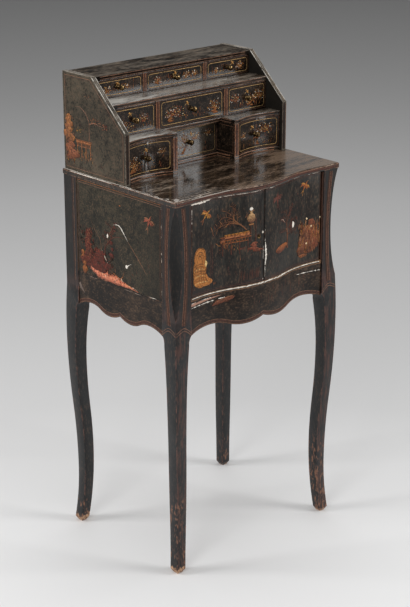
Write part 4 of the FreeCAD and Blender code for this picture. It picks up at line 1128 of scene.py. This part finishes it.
# Nine drawers: varnished fronts with a gilt border and a small landscape, the lower side ones
# hollow in plan; plain wood boxes behind, and a turned brass knob through each front.
drawer_varnish = japanned("varnish_drawers", seen(22, 16, 11), seen(42, 32, 23), BROWN_RUB, rub=0.5,
                          shine=0.04, gloss=0.5, bare=BACKWARD)
# Painted reflection: the lower centre front has a paler grey ground for the sheen its glossy front
# reflects.
painted_sheen_varnish = japanned("varnish_lower_centre_painted_sheen", seen(52, 47, 41), seen(82, 75, 66), BROWN_RUB,
                         rub=0.5, shine=0.04, gloss=0.6, bare=BACKWARD)
BORDERS = ((1.8, 2.0, 1.6, seen(82, 56, 41)), (5.2, 5.0, 1.6, seen(190, 152, 100, 0.4)))
KNOB_PROFILE = ((0.0, 0.0), (0.28, 0.012), (0.62, 0.06), (0.88, 0.15), (1.0, 0.27), (0.95, 0.38),
                (0.74, 0.47), (0.5, 0.52), (0.42, 0.58), (0.42, 0.68), (0.56, 0.74), (0.6, 0.8),
                (0.52, 0.85), (0.5, 0.93), (0.86, 0.96), (0.9, 1.0))
KNOB_SIDES, KNOB_SHANK = 32, 0.4
BESIDE_SHANK = 4
WARM = (ORANGE, RED, PALE_GOLD, seen(196, 92, 60), GOLD, CREAM)
GILT = (GOLD, PALE_GOLD, ORANGE, GOLD, seen(120, 74, 40), CREAM)
DRAWER_PLANTS = {
    "upper_left": ((0.2, 0.42, 1.0, GILT), (0.66, 0.5, 0.6, GILT)),
    "upper_centre": ((0.17, 0.48, 1.0, WARM), (0.72, 0.55, 0.9, GILT), (0.88, 0.55, 0.8, GILT)),
    "upper_right": ((0.2, 0.45, 0.6, GILT), (0.82, 0.5, 1.0, GILT)),
    "middle_left": ((0.2, 0.4, 0.9, GILT), (0.72, 0.5, 0.7, WARM)),
    "middle_centre": ((0.14, 0.45, 0.8, WARM), (0.24, 0.5, 1.0, WARM), (0.87, 0.48, 1.0, GILT)),
    "middle_right": ((0.17, 0.55, 0.7, WARM), (0.6, 0.42, 0.8, GILT), (0.86, 0.56, 0.9, GILT)),
    "lower_left": ((0.15, 0.42, 0.8, GILT), (0.2, 0.24, 0.5, GILT), (0.85, 0.66, 0.4, GILT)),
    "lower_centre": ((0.4, 0.68, 0.7, GILT), (0.42, 0.42, 0.7, WARM), (0.62, 0.66, 0.6, GILT),
                     (0.88, 0.74, 0.5, GILT)),
    "lower_right": ((0.74, 0.66, 0.8, GILT), (0.56, 0.4, 0.45, WARM), (0.14, 0.56, 0.4, GILT)),
}


def turned_knob(node, front_y):
    """A knob turned on the lathe, with its shank through the drawer front."""
    low, high = map(Vector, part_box(node))
    middle = (low + high) / 2
    radius = (high.x - low.x) / 2
    shank = KNOB_SHANK * radius
    outline = [(radius * reach, low.y + (front_y - low.y) * along) for reach, along in KNOB_PROFILE]
    outline += [(shank, front_y), (shank, high.y), (0.0, high.y)]
    shape = bmesh.new()
    rings = []
    for reach, y in outline:
        turns = [2 * math.pi * turn / KNOB_SIDES for turn in range(KNOB_SIDES if reach else 1)]
        rings.append([shape.verts.new((middle.x + reach * math.cos(turn), y,
                                       middle.z + reach * math.sin(turn))) for turn in turns])
    for first, second in zip(rings, rings[1:]):
        for k in range(KNOB_SIDES):
            side = (first[k % len(first)], first[(k + 1) % len(first)],
                    second[(k + 1) % len(second)], second[k % len(second)])
            shape.faces.new(list(dict.fromkeys(side)))
    return new_piece("turned_" + node, bpy.data.meshes.new("turned_" + node), shape, brass)


for place_in_nest, plants in DRAWER_PLANTS.items():
    drawer = "drawer_" + place_in_nest
    varnish = painted_sheen_varnish if place_in_nest == "lower_centre" else drawer_varnish
    dress(drawer + "_front", varnish, 0.4)
    dress(drawer + "_box", boards, 0.3)
    low, high = corners(drawer + "_front")
    art = Brushwork(drawer, drawer + "_front", RIGHTWARD, corner=(0, low.y * MM, 0))
    for inset, round_off, width, tone in BORDERS:
        left, right, bottom, top = low.x + inset, high.x - inset, low.z + inset, high.z - inset
        border = []
        turns = ((right, top), (left, top), (left, bottom), (right, bottom))
        for quarter, (u, v) in enumerate(turns):
            for part in range(5):
                angle = math.pi / 2 * (quarter + part / 4)
                border.append((u + round_off * (math.cos(angle) - (1 if u == right else -1)),
                               v + round_off * (math.sin(angle) - (1 if v == top else -1))))
        art.outline([*border, border[0]], width, tone, 0.2)
    wide, tall = right - left, top - bottom
    ground_v = bottom + 4
    haze(art, left + wide * 0.5, bottom + tall * 0.4, wide * 0.8, tall * 0.5, 36,
         (BAND_BROWN, DULL_RED, ORANGE))
    for share, rise, size, tones in plants:
        u, v = left + wide * share, bottom + tall * rise
        if rise < 0.5:
            rock(art, u, ground_v, tall * 0.5 * size, tall * 0.3 * size, ORANGE, GOLD, 4)
        for turn in (0.5, 1.1, 1.7, 2.4):
            spray(art, u, v - tall * 0.2 * size, tall * size * art.some(0.3, 0.5), turn, ORANGE,
                  tones, 7)
        blossom(art, u, v, tall * 0.85 * size, tall * 0.6 * size, round(34 * size), tones)
    blossom(art, left + wide * 0.52, bottom + tall * 0.3, wide * 0.5, tall * 0.24, 12,
            (GOLD, ORANGE, PALE_GOLD))
    bird(art, left + wide * art.some(0.36, 0.64), top - tall * 0.22, 9, GOLD, PALE_GOLD,
         art.some(-0.4, 0.8))
    grass(art, left + wide * 0.5, ground_v, wide * 0.8, 16, (DULL_RED, GOLD, ORANGE))
    art.done("painting_" + drawer, drawer)
    knob_low, knob_high = map(Vector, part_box(drawer + "_knob"))
    seat = art.lay((knob_low.x + knob_high.x) / 2 / MM + BESIDE_SHANK,
                   (knob_low.z + knob_high.z) / 2 / MM)
    knob = turned_knob(drawer + "_knob", seat.y)
    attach(knob, drawer)
    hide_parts(drawer + "_knob")

# Studio: a seamless pale floor whose colour is a painted pool of light, brightest near the desk
# and darkening away from it, four large soft lamps to the left, the right, the front and
# overhead, and the camera where the desk was seen from.
FLOOR_LIGHT_POOL_TONES = ((0.0, 231), (0.05, 234), (0.115, 230), (0.19, 211), (0.28, 207), (0.43, 204),
               (0.64, 185), (1.0, 150))
FLOOR_REACH = 7.5
FLOOR_HALF = 40
floor_light_pool_centre = Vector((-0.54, -0.59, 0.0))
floor_finish, place = new_finish("pale_floor")
# Painted light: the floor's grey falls away with distance from the centre of a painted pool of
# light.
away = place.vector_maths("DISTANCE", floor_light_pool_centre)
shares = place.node("MapRange", {}, {"Value": away, "From Max": FLOOR_REACH})
stops = [(share, seen(level, level, level)) for share, level in FLOOR_LIGHT_POOL_TONES]
ramp = shares.node("ValToRGB", {"stops": stops}, {0: shares})
place.coat(floor_finish, ramp, 0.6, place.grain(30, 2), 0.01 * MM)
floor_mesh = bpy.data.meshes.new("floor")
floor_mesh.from_pydata([(FLOOR_HALF * x, FLOOR_HALF * y, 0)
                        for x, y in ((-1, -1), (1, -1), (1, 1), (-1, 1))], [], [(0, 1, 2, 3)])
floor_mesh.materials.append(floor_finish)
floor = bpy.data.objects.new("floor", floor_mesh)
bpy.context.scene.collection.objects.link(floor)

scene = bpy.context.scene
scene.view_settings.view_transform = "Standard"
sky = bpy.data.worlds.new("soft_room")
scene.world = sky
sky.use_nodes = True
sky.node_tree.nodes["Background"].inputs["Color"].default_value = seen(240, 240, 240)
sky.node_tree.nodes["Background"].inputs["Strength"].default_value = 0.4

AZIMUTH, ELEVATION = math.radians(-42.25), math.radians(19.71)
middle = Vector((0.0, 0.0, 0.5))
to_right = Vector((math.cos(AZIMUTH), math.sin(AZIMUTH), 0.0))
to_camera = Vector((math.sin(AZIMUTH), -math.cos(AZIMUTH), 0.0))
LAMPS = (("lamp_left", (-2.9, 0.5, 1.7), 46.0, 1.1), ("lamp_right", (2.9, 0.6, 1.6), 44.0, 1.1),
         ("lamp_front", (-1.2, 2.8, 2.3), 28.0, 1.2), ("lamp_above", (0.2, -0.4, 3.2), 28.0, 2.4))
for name, (right_m, near_m, up_m), watts, across_m in LAMPS:
    lamp = bpy.data.lights.new(name, "AREA")
    lamp.energy = watts
    lamp.size = across_m
    stand = bpy.data.objects.new(name, lamp)
    stand.location = to_right * right_m + to_camera * near_m + Vector(UP) * up_m
    stand.rotation_euler = (middle - stand.location).to_track_quat("-Z", "Y").to_euler()
    scene.collection.objects.link(stand)

AIM = Vector((0.00488, 0.0031, 0.46684))
CAMERA_AWAY = 3.207
level = math.cos(ELEVATION)
back = Vector((math.sin(AZIMUTH) * level, -math.cos(AZIMUTH) * level, math.sin(ELEVATION)))
view = bpy.data.cameras.new("camera")
view.lens = 95.5
view.sensor_width = 36.0
camera = bpy.data.objects.new("camera", view)
camera.location = AIM + back * CAMERA_AWAY
camera.rotation_euler = (-back).to_track_quat("-Z", "Y").to_euler()
scene.collection.objects.link(camera)
scene.camera = camera
